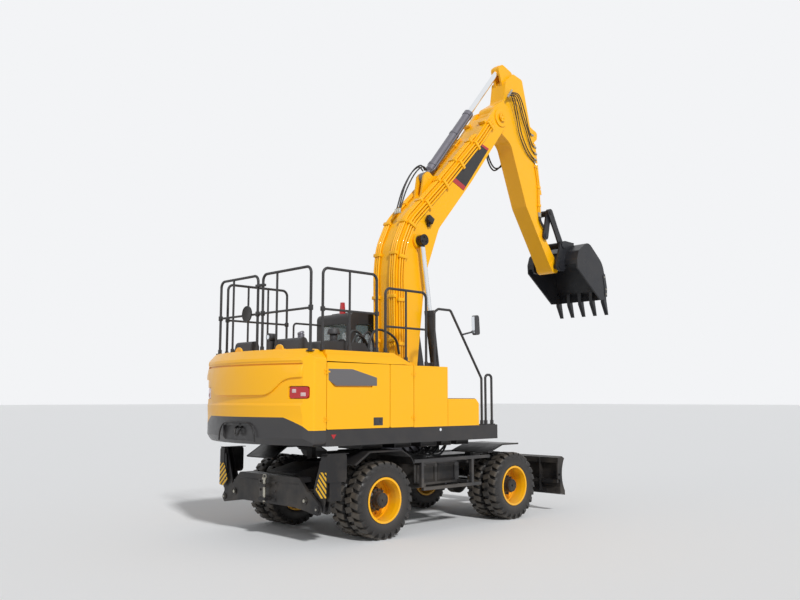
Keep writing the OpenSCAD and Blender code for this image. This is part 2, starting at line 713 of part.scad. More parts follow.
module counterweight() {
    x1 = rear_wall_x;
    top = hood_z + 10;
    wall = tail_r - 12;
    end = -tail_r - 200;
    at_slew() color(yellow) difference() {
        intersection() {
            rotate_extrude() polygon([
                [0, 1305], [wall - 70, 1305], [wall, 1400], [wall, 1667], [tail_r, 1820], [wall, 1850],
                [wall, top - 176],
                [tail_r, top - 156], [tail_r - 8, top - 120], [tail_r - 110, top], [0, top]
            ]);
            sheet_z([
                [x1, -body_half, 0], [x1 - 195, -body_half, 60], [x1 - 705, -716, 0], [x1 - 705, 716, 0],
                [x1 - 195, body_half, 60], [x1, body_half, 0]
            ], 1300, top + 10);
            sheet_x([
                [-body_half, 1305, 60], [-body_half, top - 130, 60], [130 - body_half, top, 60],
                [body_half - 130, top, 60],
                [body_half, top - 130, 60], [body_half, 1305, 60]
            ], end, x1);
        }
        box(end, 70 - tail_r, -370, 370, 1353, 1552);
        // recessed band, lower over the middle, and a pocket for each lamp
        intersection() {
            sheet_x([
                [-1130, 2190, 0], [-880, 2175, 60], [-600, 1975, 60], [600, 1975, 60], [880, 2175, 60],
                [1130, 2190, 0],
                [1130, top - 190, 0], [-1130, top - 190, 0]
            ], end, x1 - 55);
            difference() {
                bar_z(0, 0, tail_r + 100, 1900, top - 160);
                bar_z(0, 0, wall - 22, 1890, top - 150);
            }
        }
        intersection() {
            union() for (s = [-1, 1]) lamp_form(s, 0, end);
            difference() {
                bar_z(0, 0, tail_r + 100, 1850, 2100);
                bar_z(0, 0, wall - lamp_depth, 1840, 2110);
            }
        }
    }
}

// Outline of a tail lamp on side s, drawn in by inset and reaching from x to the back of its pocket
module lamp_form(s, inset, x) {
    y0 = min(s * (935 + inset), s * (1205 - inset));
    y1 = max(s * (935 + inset), s * (1205 - inset));
    sheet_x([[y0, 1905 + inset, 30], [y1, 1905 + inset, 30], [y1, 2072 - inset, 30],
        [y0, 2072 - inset, 30]], x, x + 650);
}

module lamps() {
    wall = tail_r - 12;
    at_slew() color([0.7, 0.06, 0.08]) {
        intersection() {
            union() for (s = [-1, 1]) lamp_form(s, 10, -tail_r - 200);
            difference() {
                bar_z(0, 0, wall - 14, 1850, 2100);
                bar_z(0, 0, wall - lamp_depth + 0.6, 1840, 2110);
            }
        }
        // warning lamp on the cab's roof
        bar_z(cab_x0 + 130, 740, 52, cab_z, cab_z + 60);
        translate([cab_x0 + 130, 740, cab_z + 60]) cylinder(r1 = 48, r2 = 38, h = 130);
        // work lamps along the roof's front edge
        for (y = [cab_y0 + 140, body_half - 140]) translate([cab_x1 - 430, y, cab_z]) {
            cylinder(r = 12, h = 40);
            translate([-40, -70, 40]) cube([90, 140, 100]);
        }
    }
}

// Moulded covers on the counterweight's top, as [y at the right, y at the left]
module tail_covers() {
    x = rear_wall_x;
    z = hood_z + 10;
    at_slew() color(black) {
        for (span = [[-860, -300], [280, 680]])
            slab([
                [x - 175, z, 0], [x - 140, z + 155, 60], [x - 45, z + 180, 60], [x - 7, z + 100, 40],
                [x - 7, z, 0]
            ], span[0], span[1]);
        box(x - 195, x - 115, -262, -182, z, z + 140);
        bar_x(-222, z + 195, 55, x - 205, x - 105);
    }
}

module mirrors() {
    y = 100 - body_half;
    at_slew() color(black) {
        // right mirror on the rail by the steps
        bar([549, y, 2902], [800, y, 2960], 14);
        slab([[750, 2900, 40], [860, 2910, 40], [840, 3220, 40], [740, 3210, 40]], y - 90, y - 18);
        bar_y([800, 2960], 20, y - 30, y + 22);
        // left mirror in front of the cab door
        slab([[cab_x1 - 130, 2560, 10], [cab_x1 + 130, 2640, 10], [cab_x1 + 130, 2690, 10],
            [cab_x1 - 130, 2610, 10]],
            body_half, body_half + 14);
        slab([[cab_x1 + 90, 2560, 40], [cab_x1 + 190, 2560, 40], [cab_x1 + 190, 2900, 40],
            [cab_x1 + 90, 2900, 40]],
            body_half - 36, body_half + 8);
    }
}

module engine_block() {
    at_slew() color(grey) {
        box(side_x0 + 120, -1300, -560, hood_y1 + 60, deck_z1, hood_z - 300);
        bar_z(-1600, 0, 30, hood_z - 300, hood_z - 170);
    }
}

side_x1 = -1100;
side_x2 = -630;
left_x2 = -440;
tank_x1 = 90;
step_x1 = 800;
hood_y0 = -1020;
hood_y1 = boom_y + boom_w / 2 + 190;

// One hinge of the hood, at y along the hood's front edge
module hood_hinge(y, leaf) {
    translate([-1162, y, hood_z + hinge_out]) rotate([90, 0, 0]) difference() {
        union() {
            for (z0 = leaf ? [-14] : [-42, 16]) {
                translate([0, 0, z0]) cylinder(r = 11, h = leaf ? 28 : 26);
                translate([leaf ? -60 : -3, -hinge_out, z0]) cube([leaf ? 63 : 47, hinge_out - 2,
                    leaf ? 28 : 26]);
            }
            if (!leaf) translate([0, 0, -42]) cylinder(r = 6, h = 84);
        }
        if (leaf) translate([0, 0, -20]) cylinder(r = 6 + fit_gap, h = 40);
    }
}

module body_panels() {
    top = hood_z;
    inner = body_half - 230;
    at_slew() color(yellow) {
        hinge_fixed(side_x0, -body_half, -1, hinge_heights);
        hinge_fixed(side_x2, -body_half, 1, hinge_heights);
        hinge_fixed(side_x0, body_half, -1, hinge_heights);
        for (y = [-700, 60]) hood_hinge(y, false);
        // tank and step box
        difference() {
            union() {
                box(side_x2 + 6, tank_x1, -body_half, -540, deck_z1, tank_z);
                slab([[tank_x1 - 10, deck_z1, 0], [step_x1, deck_z1, 0], [step_x1, 1840, 10],
                    [step_x1 - 70, 1910, 10],
                      [tank_x1 - 10, 1910, 0]], -body_half, -700);
            }
            box(tank_x1 - 4, tank_x1 + 4, -body_half - 1, -body_half + 12, deck_z1 - 1, 1912);
        }
        // right shoulder of the hood, over the two doors
        slab([
            [side_x0, shoulder_z, 0], [side_x0, top, 0], [-1010, top, 60], [side_x2, shoulder_z + 2, 0],
            [side_x2, shoulder_z - 10, 0], [-1100, shoulder_z - 10, 0]
        ], -body_half + 30, hood_y0 - seam);
        slab([
            [side_x0, shoulder_z, 0], [side_x0, top - 60, 0], [-1010, top - 60, 60],
            [-760, shoulder_z - 4, 0], [-1100, shoulder_z - 10, 0]
        ], -body_half, -body_half + 30);
        // left shoulder of the hood
        box(side_x0, -1110, hood_y1 + seam, body_half - 30, shoulder_z, top);
        box(side_x0, -1110, body_half - 30, body_half, shoulder_z, top - 60);
        // bulkheads that carry the shoulders
        box(side_x1 - 20, side_x1 + 20, -body_half + door_t + seam, -540, deck_z1, shoulder_z - 10);
        box(-1160, -1110, -540, body_half - door_t - seam, deck_z1, shoulder_z);
        box(-1160, -1110, hood_y0 - seam, hood_y1 + seam, shoulder_z - 10, hood_z);
        // lid and post of the compartment behind the cab
        box(-1110, left_x2 - 2, hood_y1 + seam, body_half, shoulder_z - 10, shoulder_z + 30);
        box(left_x2 - 42, left_x2 - 2, body_half - door_t - seam - 40, body_half - door_t - seam, deck_z1,
            shoulder_z - 10);
        for (y = [-body_half + door_t + seam, body_half - door_t - seam - 40])
            box(side_x0, side_x0 + 40, y, y + 40, deck_z1, shoulder_z);
    }
}

module valve_block() {
    at_slew() color(grey) {
        box(-900, -420, -420, 260, deck_z1, 2180);
        for (i = [0:5]) bar_z(-820 + i * 66, -80, 22, 2180, 2290);
        box(-1090, -950, -500, 300, deck_z1, hood_z + 10);
    }
}

hinge_out = 12;

// The half of a hinge on the body, at x on the side y, its lugs reaching towards dir
module hinge_fixed(x, y, dir, heights) {
    s = y > 0 ? 1 : -1;
    for (z = heights) translate([x, y + s * hinge_out, z]) {
        for (z0 = [-30, 12]) {
            translate([0, 0, z0]) cylinder(r = 11, h = 18);
            translate([dir > 0 ? -3 : -44, s > 0 ? -hinge_out : 2, z0]) cube([47, hinge_out - 2, 18]);
        }
        translate([0, 0, -30]) cylinder(r = 6, h = 60);
    }
}

// The half of the hinge on the door, a knuckle and its strap
module hinge_leaf(x, y, dir, heights) {
    s = y > 0 ? 1 : -1;
    for (z = heights) translate([x, y + s * hinge_out, z]) difference() {
        union() {
            translate([0, 0, -10]) cylinder(r = 11, h = 20);
            translate([dir > 0 ? -3 : -50, s > 0 ? -hinge_out : 2, -10]) cube([53, hinge_out - 2, 20]);
        }
        translate([0, 0, -20]) cylinder(r = 6 + fit_gap, h = 40);
    }
}

hinge_heights = [1640, shoulder_z - 140];
cab_hinges = [1720, 2960];

module door_skin(x0, x1, side) {
    mirror_y(side > 0) slab([
        [x0 + seam, deck_z1 + seam, 20], [x1 - seam, deck_z1 + seam, 20], [x1 - seam, shoulder_z - 15, 20],
        [x0 + seam, shoulder_z - 15, 20]
    ], body_half - door_t, body_half);
}

module door_right_rear() {
    at_slew() color(yellow) hinge_leaf(side_x0, -body_half, 1, hinge_heights);
    at_slew() color(yellow) difference() {
        door_skin(side_x0, side_x1, -1);
        slab([
            [side_x0 + 40, 2290, 20], [side_x0 + 340, 2290, 20], [side_x1 - 330, 2130, 20],
            [side_x1 - 330, 2060, 20],
            [side_x0 + 130, 2060, 20], [side_x0 + 40, 2150, 20]
        ], -body_half - 1, -body_half + 24);
    }
}

module door_right_front() {
    at_slew() color(yellow) hinge_leaf(side_x2, -body_half, -1, hinge_heights);
    at_slew() color(yellow) door_skin(side_x1, side_x2, -1);
}

module door_left_front() {
    at_slew() color(yellow) hinge_leaf(left_x2, body_half, -1, hinge_heights);
    at_slew() color(yellow) difference() {
        door_skin(side_x1, left_x2, 1);
        for (z = [1760:60:2120]) box(side_x1 + 100, left_x2 - 120, body_half - door_t - 1, body_half + 1,
            z, z + 30);
    }
}

module door_left_rear() {
    at_slew() color(yellow) hinge_leaf(side_x0, body_half, 1, hinge_heights);
    at_slew() color(yellow) difference() {
        door_skin(side_x0, side_x1, 1);
        for (z = [1700:60:2240]) box(side_x0 + 140, side_x1 - 200, body_half - door_t - 1, body_half + 1,
            z, z + 30);
    }
}

module engine_hood() {
    at_slew() color(black) union() {
        for (y = [-700, 60]) hood_hinge(y, true);
        box(side_x0 + 50, -1165, hood_y0, hood_y1, hood_z - 60, hood_z);
        difference() {
            slab([[side_x0 + 90, hood_z - 10, 0], [side_x0 + 180, hood_z + 140, 60],
                [-1320, hood_z + 140, 60], [-1210, hood_z - 10, 0]],
                hood_y0 + 60, hood_y1 - 60);
            slab([[side_x0 + 140, hood_z - 90, 0], [side_x0 + 210, hood_z + 110, 40],
                [-1340, hood_z + 110, 40], [-1250, hood_z - 90, 0]],
                hood_y0 + 90, hood_y1 - 90);
        }
    }
}

rail_r = 19;
post_r = 16;
rail_bend = 90;
loop_right = hood_z + 1100;
loop_front = hood_z + 930;
loop_rear = hood_z + 1095;
mid_rail = 545;

module handrails() {
    y0 = 100 - body_half;
    x0 = side_x0;
    x1 = -1267;
    back = rear_wall_x - 205;
    low = hood_z + 10;
    at_slew() color(black) {
        // loop over the right side of the hood
        tube([[x0, y0, hood_z], [x0, y0, loop_right], [x1, y0, loop_right], [x1, y0, hood_z]],
            rail_r, rail_bend);
        bar_z((x0 + x1) / 2 - 16, y0, post_r, hood_z, loop_right);
        bar([x0, y0, hood_z + mid_rail], [x1, y0, hood_z + mid_rail], post_r);
        // loop beside the tank
        tube([[-1100, y0, hood_z], [-1100, y0, loop_front], [-270, y0, loop_front], [-270, y0, tank_z]],
            rail_r, rail_bend);
        bar_z(-690, y0, post_r, shoulder_z + 34, loop_front);
        bar([-1100, y0, tank_z + mid_rail], [-270, y0, tank_z + mid_rail], post_r);
        // rail that runs down the front steps
        tube([[-90, y0, tank_z], [-90, y0, 3210], [0, y0, 3260], [270, y0, 3260], [985, y0, 2230],
            [985, y0, deck_z1]],
            rail_r, 60);
        tube([[1080, y0, deck_z1], [1080, y0, 2290], [1230, y0, 2290], [1230, y0, deck_z1]], rail_r, 60);
        // loops across the back of the hood, as [y of the ends and of the middle post]
        for (span = [[-1162, -76, -409], [46, 1005, 669]]) {
            tube([[back, span[0], span[0] < 130 - body_half ? low - 19 : low], [back, span[0], loop_rear],
                  [back, span[1], loop_rear], [back, span[1], low]], rail_r, rail_bend);
            bar_z(back, span[2], post_r, low, loop_rear);
        }
        bar([back, -1162, hood_z + mid_rail], [back, 1005, hood_z + mid_rail], post_r);
        // loop along the left side of the hood
        tube([[x0, -y0, hood_z], [x0, -y0, loop_rear], [-1130, -y0, loop_rear], [-1130, -y0, hood_z]],
            rail_r, rail_bend);
        bar([x0, -y0, hood_z + mid_rail], [-1130, -y0, hood_z + mid_rail], post_r);
        for (i = [1, 2]) bar_z(x0 + i * (-1130 - x0) / 3, -y0, post_r, hood_z, loop_rear);
        // grab rail on the cab's back
        tube([[cab_x0, -y0, 3130], [-990, -y0, 3130], [-990, -y0, 2700], [cab_x0, -y0, 2700]], post_r, 60);
    }
}

cab_x0 = -430;
cab_x1 = 1320;
cab_y0 = boom_y + boom_w / 2 + 210;
cab_side = [
    [cab_x0, deck_z1, 40], [cab_x1, deck_z1, 60], [cab_x1, 2150, 120], [cab_x1 - 220, cab_z, 160],
    [cab_x0, cab_z, 90]
];
cab_inner = [
    [cab_x0 + cab_wall, deck_z1 + cab_wall, 20], [cab_x1 - cab_wall, deck_z1 + cab_wall, 30],
    [cab_x1 - cab_wall, 2140, 100], [cab_x1 - 265, cab_z - 90, 120], [cab_x0 + cab_wall, cab_z - 90, 60]
];
door_front = cab_x1 - 150;
door_back = cab_x0 + 430;
door_hole = [
    [door_back, deck_z1 + 70, 40], [door_front, deck_z1 + 70, 60], [door_front, 2100, 60],
    [cab_x1 - 340, 3130, 60], [door_back, 3130, 60]
];
door_leaf = [
    [door_back + seam, deck_z1 + 75, 40], [door_front - seam, deck_z1 + 75, 60],
    [door_front - seam, 2099, 60],
    [cab_x1 - 340 - seam, 3125, 60], [door_back + seam, 3125, 60]
];

// Window openings in the side walls, as outlines
side_windows = [
    [[cab_x0 + 110, 2250, 60], [door_back - 90, 2250, 60], [door_back - 90, 3120, 60],
    [cab_x0 + 110, 3120, 60]]
];
right_windows = [
    [[cab_x0 + 110, 2250, 60], [cab_x0 + 560, 2250, 60], [cab_x0 + 560, 3120, 60], [cab_x0 + 110, 3120, 60]],
    [[cab_x0 + 660, 1950, 60], [cab_x1 - 120, 1950, 60], [cab_x1 - 120, 2140, 60], [cab_x1 - 340, 3120, 60],
     [cab_x0 + 660, 3120, 60]]
];

module cab_shell() {
    at_slew() color(black) hinge_fixed(door_back, body_half, -1, cab_hinges);
    at_slew() color(black) hinge_fixed(left_x2, body_half, 1, hinge_heights);
    at_slew() color(black) difference() {
        slab(cab_side, cab_y0, body_half);
        slab(cab_inner, cab_y0 + cab_wall, body_half - cab_wall);
        for (w = side_windows) slab(w, body_half - cab_wall - 10, body_half + 10);
        for (w = right_windows) slab(w, cab_y0 - 10, cab_y0 + cab_wall + 10);
        slab(door_hole, body_half - cab_wall - 10, body_half + 10);
        sheet_x([[cab_y0 + 110, 2250, 60], [body_half - 110, 2250, 60], [body_half - 110, 3120, 60],
                 [cab_y0 + 110, 3120, 60]], cab_x0 - 10, cab_x0 + cab_wall + 10);
        sheet_x([[cab_y0 + 90, 1750, 60], [body_half - 90, 1750, 60], [body_half - 90, 3120, 60],
                 [cab_y0 + 90, 3120, 60]], cab_x1 - 380, cab_x1 + 10);
    }
}

module cab_glass() {
    t = 8;
    m = 26;
    at_slew() color([0.5, 0.6, 0.65, 0.5]) {
        for (w = side_windows) slab(w, body_half - cab_wall + m, body_half - cab_wall + m + t);
        for (w = right_windows) slab(w, cab_y0 + m, cab_y0 + m + t);
        sheet_x([[cab_y0 + 110, 2250, 60], [body_half - 110, 2250, 60], [body_half - 110, 3120, 60],
                 [cab_y0 + 110, 3120, 60]], cab_x0 + m, cab_x0 + m + t);
    }
}

module cab_interior() {
    y = (cab_y0 + body_half) / 2;
    z = deck_z1 + cab_wall;
    x = cab_x0 + 430;
    half = (body_half - cab_y0) / 2 - cab_wall;
    at_slew() color(grey) {
        box(x, x + 440, y - 220, y + 220, z, z + 420);
        slab([[x - 60, z + 410, 60], [x + 500, z + 410, 60], [x + 500, z + 560, 60], [x + 100, z + 560, 60],
              [x - 20, z + 1250, 60], [x - 140, z + 1250, 60]], y - 240, y + 240);
        for (s = [-1, 1]) box(x + 140, x + 640, y + s * (half - 63) - 60, y + s * (half - 63) + 60, z,
            z + 640);
        difference() {
            bar([x + 1060, y, z - 40], [x + 930, y, z + 715], 40);
            box(x + 900, x + 1200, y - 100, y + 100, z - 90, z);
        }
        translate([x + 932, y, z + 690]) rotate([0, -10, 0]) cylinder(r = 190, h = 30);
    }
}

module cab_door() {
    at_slew() color(black) hinge_leaf(door_back, body_half, 1, cab_hinges);
    at_slew() color(black) difference() {
        slab(door_leaf, body_half - cab_wall, body_half);
        slab([[door_back + 80, 1900, 60], [door_front - 90, 1900, 60], [door_front - 90, 2110, 60],
              [cab_x1 - 395, 3050, 60], [door_back + 80, 3050, 60]],
              body_half - cab_wall - 10, body_half + 10);
    }
}

boom_side = [
    [-15, 1880, 0], [300, 1870, 0], [315, 2000, 0], [520, 3600, 200], [620, 4060, 300], [900, 4754, 400],
    [1760, 5732, 600], [2740, 6958, 100], [2790, 7120, 100], [2700, 7280, 110], [2430, 7240, 110],
    [1928, 6608, 0], [924, 5563, 0], [170, 4830, 500], [-60, 4350, 400], [-110, 3900, 0], [-95, 3000, 0]
];

module boom() {
    half = boom_w / 2;
    at_slew() color(yellow) translate([0, boom_y, 0]) difference() {
        union() {
            difference() {
                slab(boom_side, -half, half);
                // fork that holds the arm
                slab([
                    [2290, 6400, 0], [3000, 6400, 0], [3000, 7500, 0], [2290, 7500, 0]
                ], -arm_w / 2 - gap - 4, arm_w / 2 + gap + 4);
            }
            bar_y(boom_foot, 150, -half, half);
            for (s = [-1, 1]) {
                bar_y(arm_pivot, 170, s > 0 ? half - 40 : -half - 20, s > 0 ? half + 20 : -half + 40);
                bar_y(boom_lift_eye, 120, s > 0 ? half - 10 : -half - 46, s > 0 ? half + 46 : -half + 10);
            }
            for (s = [-1, 1])
                translate([0, s * (eye_w / 2 + gap + 20), 0]) slab([
                    [620, 5200, 0], [1180, 5760, 0], [arm_lift_base[0] + 110, arm_lift_base[1] + 30, 60],
                    [arm_lift_base[0] - 20, arm_lift_base[1] + 110, 80],
                    [arm_lift_base[0] - 110, arm_lift_base[1] + 10, 60]
                ], -20, 20);
        }
        bar_y(boom_foot, pin_r + 10 + fit_gap, -half - 10, half + 10);
        bar_y(arm_pivot, pin_r + 10 + fit_gap, -half - 60, half + 60);
    }
    at_slew() color(steel) translate([0, boom_y, 0]) bar_y(arm_lift_base, pin_r, -eye_w / 2 - 50,
        eye_w / 2 + 50);
}

module boom_cylinder_barrels() {
    at_slew() color(black) for (s = [-1, 1])
        barrel(boom_lift_base, boom_lift_eye, boom_y + s * lift_y, boom_barrel_r, 1650, 92, pin_r);
}

module boom_cylinder_rods() {
    at_slew() color(steel) for (s = [-1, 1])
        rod(boom_lift_base, boom_lift_eye, boom_y + s * lift_y, boom_barrel_r * 0.62, 1380, 88, pin_r,
            eye_w / 2 + 4);
}

module arm_cylinder_barrel() {
    at_slew() color(black) barrel(arm_lift_base, arm_lift_eye, boom_y, arm_barrel_r, 1830, 95, pin_r);
}

module arm_cylinder_rod() {
    at_slew() color(steel)
        rod(arm_lift_base, arm_lift_eye, boom_y, arm_barrel_r * 0.62, 1560, 90, pin_r, eye_w / 2 + 4);
}

arm_side = [
    [2480, 6960, 160], [2980, 6700, 300], [3430, 5560, 0], [4195, 4430, 30], [4300, 4400, 30],
    [4400, 4550, 30],
    [4040, 5000, 100], [3895, 5400, 300], [3870, 6100, 0], [3622, 7085, 0], [3365, 8048, 60],
    [3090, 8100, 60],
    [2860, 7900, 60], [2800, 7500, 100], [2450, 7280, 150]
];

module arm() {
    half = arm_w / 2;
    at_slew() color(yellow) translate([0, boom_y, 0]) difference() {
        union() {
            slab(arm_side, -half, half);
            bar_y(arm_pivot, 170, -half - 4, half + 4);
            bar_y(arm_pivot, pin_r + 10, -boom_w / 2 - 40, boom_w / 2 + 40);
            for (s = [-1, 1]) {
                translate([0, s * (eye_w / 2 + gap + 20), 0]) slab([
                    [2860, 7800, 0], [3200, 8000, 0], [3140, 8160, 60],
                    [arm_lift_eye[0] + 20, arm_lift_eye[1] + 110, 90],
                    [arm_lift_eye[0] - 110, arm_lift_eye[1] + 20, 90],
                    [arm_lift_eye[0] - 60, arm_lift_eye[1] - 120, 60]
                ], -20, 20);
                translate([0, s * (eye_w / 2 + gap + 20), 0]) slab([
                    [3480, 7300, 0], [3640, 6780, 0], [bucket_lift_base[0] + 60, bucket_lift_base[1] - 80,
                    60],
                    [bucket_lift_base[0] + 80, bucket_lift_base[1] + 60, 70],
                    [bucket_lift_base[0] - 60, bucket_lift_base[1] + 100, 60]
                ], -20, 20);
            }
            bar_y(rocker_pin, 75, -half - 10, half + 10);
            bar_y(bucket_pin, 125, -half - 10, half + 10);
        }
        slab([[2700, 7960, 0], [3060, 7960, 0], [3140, 8300, 0], [2700, 8300, 0]],
            -eye_w / 2 - gap, eye_w / 2 + gap);
        bar_y(bucket_pin, pin_r + fit_gap, -half - 20, half + 20);
        bar_y(rocker_pin, pin_r - 5 + fit_gap, -half - 20, half + 20);
    }
    at_slew() color(steel) translate([0, boom_y, 0]) bar_y(bucket_lift_base, pin_r, -eye_w / 2 - 50,
        eye_w / 2 + 50);
}

module bucket_cylinder_barrel() {
    at_slew() color(black) barrel(bucket_lift_base, link_top, boom_y, bucket_barrel_r, 1180, 84, pin_r);
}

module bucket_cylinder_rod() {
    at_slew() color(steel)
        rod(bucket_lift_base, link_top, boom_y, bucket_barrel_r * 0.62, 240, 80, pin_r - 5, eye_w / 2 + 4);
}

// Flat link plate between two pins
module link_plate(a, b, ra, rb, y0, y1) {
    d = norm(b - a);
    translate([a[0], 0, a[1]]) rotate([0, -atan2(b[1] - a[1], b[0] - a[0]), 0])
        slab([[-ra * 0.9, -ra * 0.9, ra * 0.85], [d / 2, -min(ra, rb) * 0.8, 0],
            [d + rb * 0.9, -rb * 0.9, rb * 0.85],
              [d + rb * 0.9, rb * 0.9, rb * 0.85], [d / 2, min(ra, rb) * 0.8, 0],
              [-ra * 0.9, ra * 0.9, ra * 0.85]], y0, y1);
}

rocker_in = arm_w / 2 + 10 + gap;
rocker_t = 34;
link_pin_r = 36;

module rocker_links() {
    at_slew() color(grey) translate([0, boom_y, 0]) {
        for (s = [-1, 1]) difference() {
            mirror([0, s > 0 ? 0 : 1, 0]) link_plate(rocker_pin, link_top, 92, 88, rocker_in,
                rocker_in + rocker_t);
        }
        bar_y(rocker_pin, pin_r - 5, -rocker_in - rocker_t - 12, rocker_in + rocker_t + 12);
        for (s = [-1, 1])
            bar_y(link_top, 60, s > 0 ? eye_w / 2 + gap + 8 : -rocker_in,
                s > 0 ? rocker_in : -eye_w / 2 - gap - 8);
        for (s = [-1, 1]) {
            far = rocker_in + rocker_t + gap + 34 + 12;
            bar_y(link_top, link_pin_r, s > 0 ? rocker_in : -far, s > 0 ? far : -rocker_in);
        }
    }
}

module bucket_link() {
    y0 = rocker_in + rocker_t + gap;
    at_slew() color(grey) translate([0, boom_y, 0]) {
        difference() {
            union() {
                for (s = [-1, 1]) mirror([0, s > 0 ? 0 : 1, 0]) link_plate(link_top, link_low, 88, 84, y0,
                    y0 + 34);
                bar_y(link_low, 62, -y0, y0);
            }
            bar_y(link_top, link_pin_r + fit_gap, -y0 - 50, y0 + 50);
        }
    }
}

bucket_ear_y = rocker_in + rocker_t + gap + 34 + gap;
bucket_outer = [
    [4450, 4620, 60], [4520, 4800, 80], [4851, 5020, 200], [5347, 4627, 380], [5505, 4097, 200],
    [5440, 3900, 0],
    [5250, 3880, 0], [4459, 4450, 0]
];
bucket_inner = [
    [4482, 4615, 40], [4545, 4778, 60], [4848, 4985, 180], [5318, 4612, 360], [5472, 4105, 180],
    [5405, 3880, 0],
    [5100, 3700, 0], [4380, 4300, 0]
];

module bucket() {
    half = bucket_w / 2;
    at_slew() color(grey) translate([0, boom_y, 0]) difference() {
        union() {
            difference() {
                slab(bucket_outer, -half, half);
                slab(bucket_inner, -half + bucket_t, half - bucket_t);
            }
            for (s = [-1, 1]) mirror([0, s > 0 ? 0 : 1, 0]) slab([
                [bucket_pin[0] - 80, bucket_pin[1] - 90, 80], [bucket_pin[0] + 120, bucket_pin[1] - 90, 60],
                [4700, 4700, 0], [4800, 5010, 0], [link_low[0] + 60, link_low[1] + 90, 60],
                [link_low[0] - 90, link_low[1] + 60, 60], [bucket_pin[0] - 90, bucket_pin[1] + 80, 70]
            ], bucket_ear_y, bucket_ear_y + 40);
            bar_y(bucket_pin, pin_r, -bucket_ear_y - 52, bucket_ear_y + 52);
            for (s = [-1, 1])
                bar_y(link_low, 70, s > 0 ? bucket_ear_y : -bucket_ear_y - 56,
                    s > 0 ? bucket_ear_y + 56 : -bucket_ear_y);
            for (i = [0:teeth - 1]) {
                y = -half + 60 + i * (bucket_w - 120) / (teeth - 1);
                translate([0, y, 0]) slab([
                    [5390, 4080, 0], [5470, 4060, 0], [5500, 3860, 0], [5552, 3600, 0], [5536, 3598, 0],
                    [5400, 3850, 0]
                ], -38, 38);
            }
        }
    }
}

chassis_frame();
slew_ring();
front_axle();
rear_axle();
mudguards();
side_steps();
outrigger_beam();
knuckle_left();
knuckle_right();
steering_rod();
tyres_front_left();
rims_front_left();
tyres_front_right();
rims_front_right();
tyres_rear_left();
rims_rear_left();
tyres_rear_right();
rims_rear_right();
dozer_blade();
blade_cylinder_barrels();
blade_cylinder_rods();
outrigger_left();
outrigger_barrel_left();
outrigger_rod_left();
outrigger_right();
outrigger_barrel_right();
outrigger_rod_right();
upper_deck();
counterweight();
engine_block();
body_panels();
valve_block();
handrails();
mirrors();
lamps();
tail_covers();
cab_shell();
cab_glass();
cab_interior();
cab_door();
engine_hood();
door_right_rear();
door_right_front();
door_left_rear();
door_left_front();
boom();
boom_cylinder_barrels();
boom_cylinder_rods();
arm_cylinder_barrel();
arm_cylinder_rod();
arm();
bucket_cylinder_barrel();
bucket_cylinder_rod();
rocker_links();
bucket_link();
bucket();
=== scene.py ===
"""Wheeled excavator on a studio floor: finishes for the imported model's solids and the small pieces that dress them."""
import math

import bpy
from mathutils import Matrix, Vector


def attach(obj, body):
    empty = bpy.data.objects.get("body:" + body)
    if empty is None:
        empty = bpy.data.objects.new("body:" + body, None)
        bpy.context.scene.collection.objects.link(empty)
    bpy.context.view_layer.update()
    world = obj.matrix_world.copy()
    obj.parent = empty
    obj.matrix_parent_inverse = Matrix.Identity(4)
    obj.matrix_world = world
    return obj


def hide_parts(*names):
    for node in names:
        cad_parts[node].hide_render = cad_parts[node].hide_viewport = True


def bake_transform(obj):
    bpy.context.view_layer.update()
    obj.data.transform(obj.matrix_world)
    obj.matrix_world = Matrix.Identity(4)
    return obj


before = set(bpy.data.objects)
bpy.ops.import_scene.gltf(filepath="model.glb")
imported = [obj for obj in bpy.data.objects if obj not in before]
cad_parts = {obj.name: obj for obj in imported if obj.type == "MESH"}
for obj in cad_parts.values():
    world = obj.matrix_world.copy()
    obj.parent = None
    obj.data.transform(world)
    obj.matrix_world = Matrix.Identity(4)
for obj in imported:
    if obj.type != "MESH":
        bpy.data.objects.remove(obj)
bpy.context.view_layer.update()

# The machine is measured in millimetres from its slewing axis, forward, to the left and up.
# SLEW_X is the axis's own place in the frame, in metres.
SLEW_X = -1.376
BOOM_Y = -80  # middle plane of boom, arm and bucket
SIDE = 1250  # half width of the upper body
WHEEL_Z = 527.5
AXLES = (("front", 1650), ("rear", -1200))
RIGHT_LEFT = ((-1, "right"), (1, "left"))
LEFT_RIGHT = ((1, "left"), (-1, "right"))


def at(x, y, z):
    """A place on the machine, in the frame's metres."""
    return Vector((x / 1000 + SLEW_X, y / 1000, z / 1000))


def rgb(red, green, blue):
    """A colour as a screen shows it, 0 to 255, in the values a shader takes."""
    return tuple(((c / 255 + 0.055) / 1.055) ** 2.4 if c > 10 else c / 3294.6 for c in (red, green, blue)) + (1.0,)


# ---- shaping ----


def clear():
    if bpy.context.mode != "OBJECT":
        bpy.ops.object.mode_set(mode="OBJECT")
    bpy.ops.object.select_all(action="DESELECT")


def only(obj):
    clear()
    obj.select_set(True)
    bpy.context.view_layer.objects.active = obj
    return obj


def settled(name):
    """The object just added, named and with its place put into its mesh."""
    obj = bpy.context.object
    obj.name = obj.data.name = name
    bpy.ops.object.transform_apply(location=True, rotation=True, scale=True)
    return obj


def block(name, low, high, turn=(0, 0, 0)):
    clear()
    low, high = Vector(low), Vector(high)
    bpy.ops.mesh.primitive_cube_add(size=1, location=(low + high) / 2, rotation=turn, scale=high - low)
    return settled(name)


def drum(name, start, end, radius, sides=24, tip=None):
    clear()
    way = Vector(end) - Vector(start)
    turn = way.to_track_quat("Z", "Y").to_euler()
    bpy.ops.mesh.primitive_cone_add(
        vertices=sides, radius1=radius, radius2=radius if tip is None else tip, depth=way.length,
        location=(Vector(start) + Vector(end)) / 2, rotation=turn)
    return settled(name)


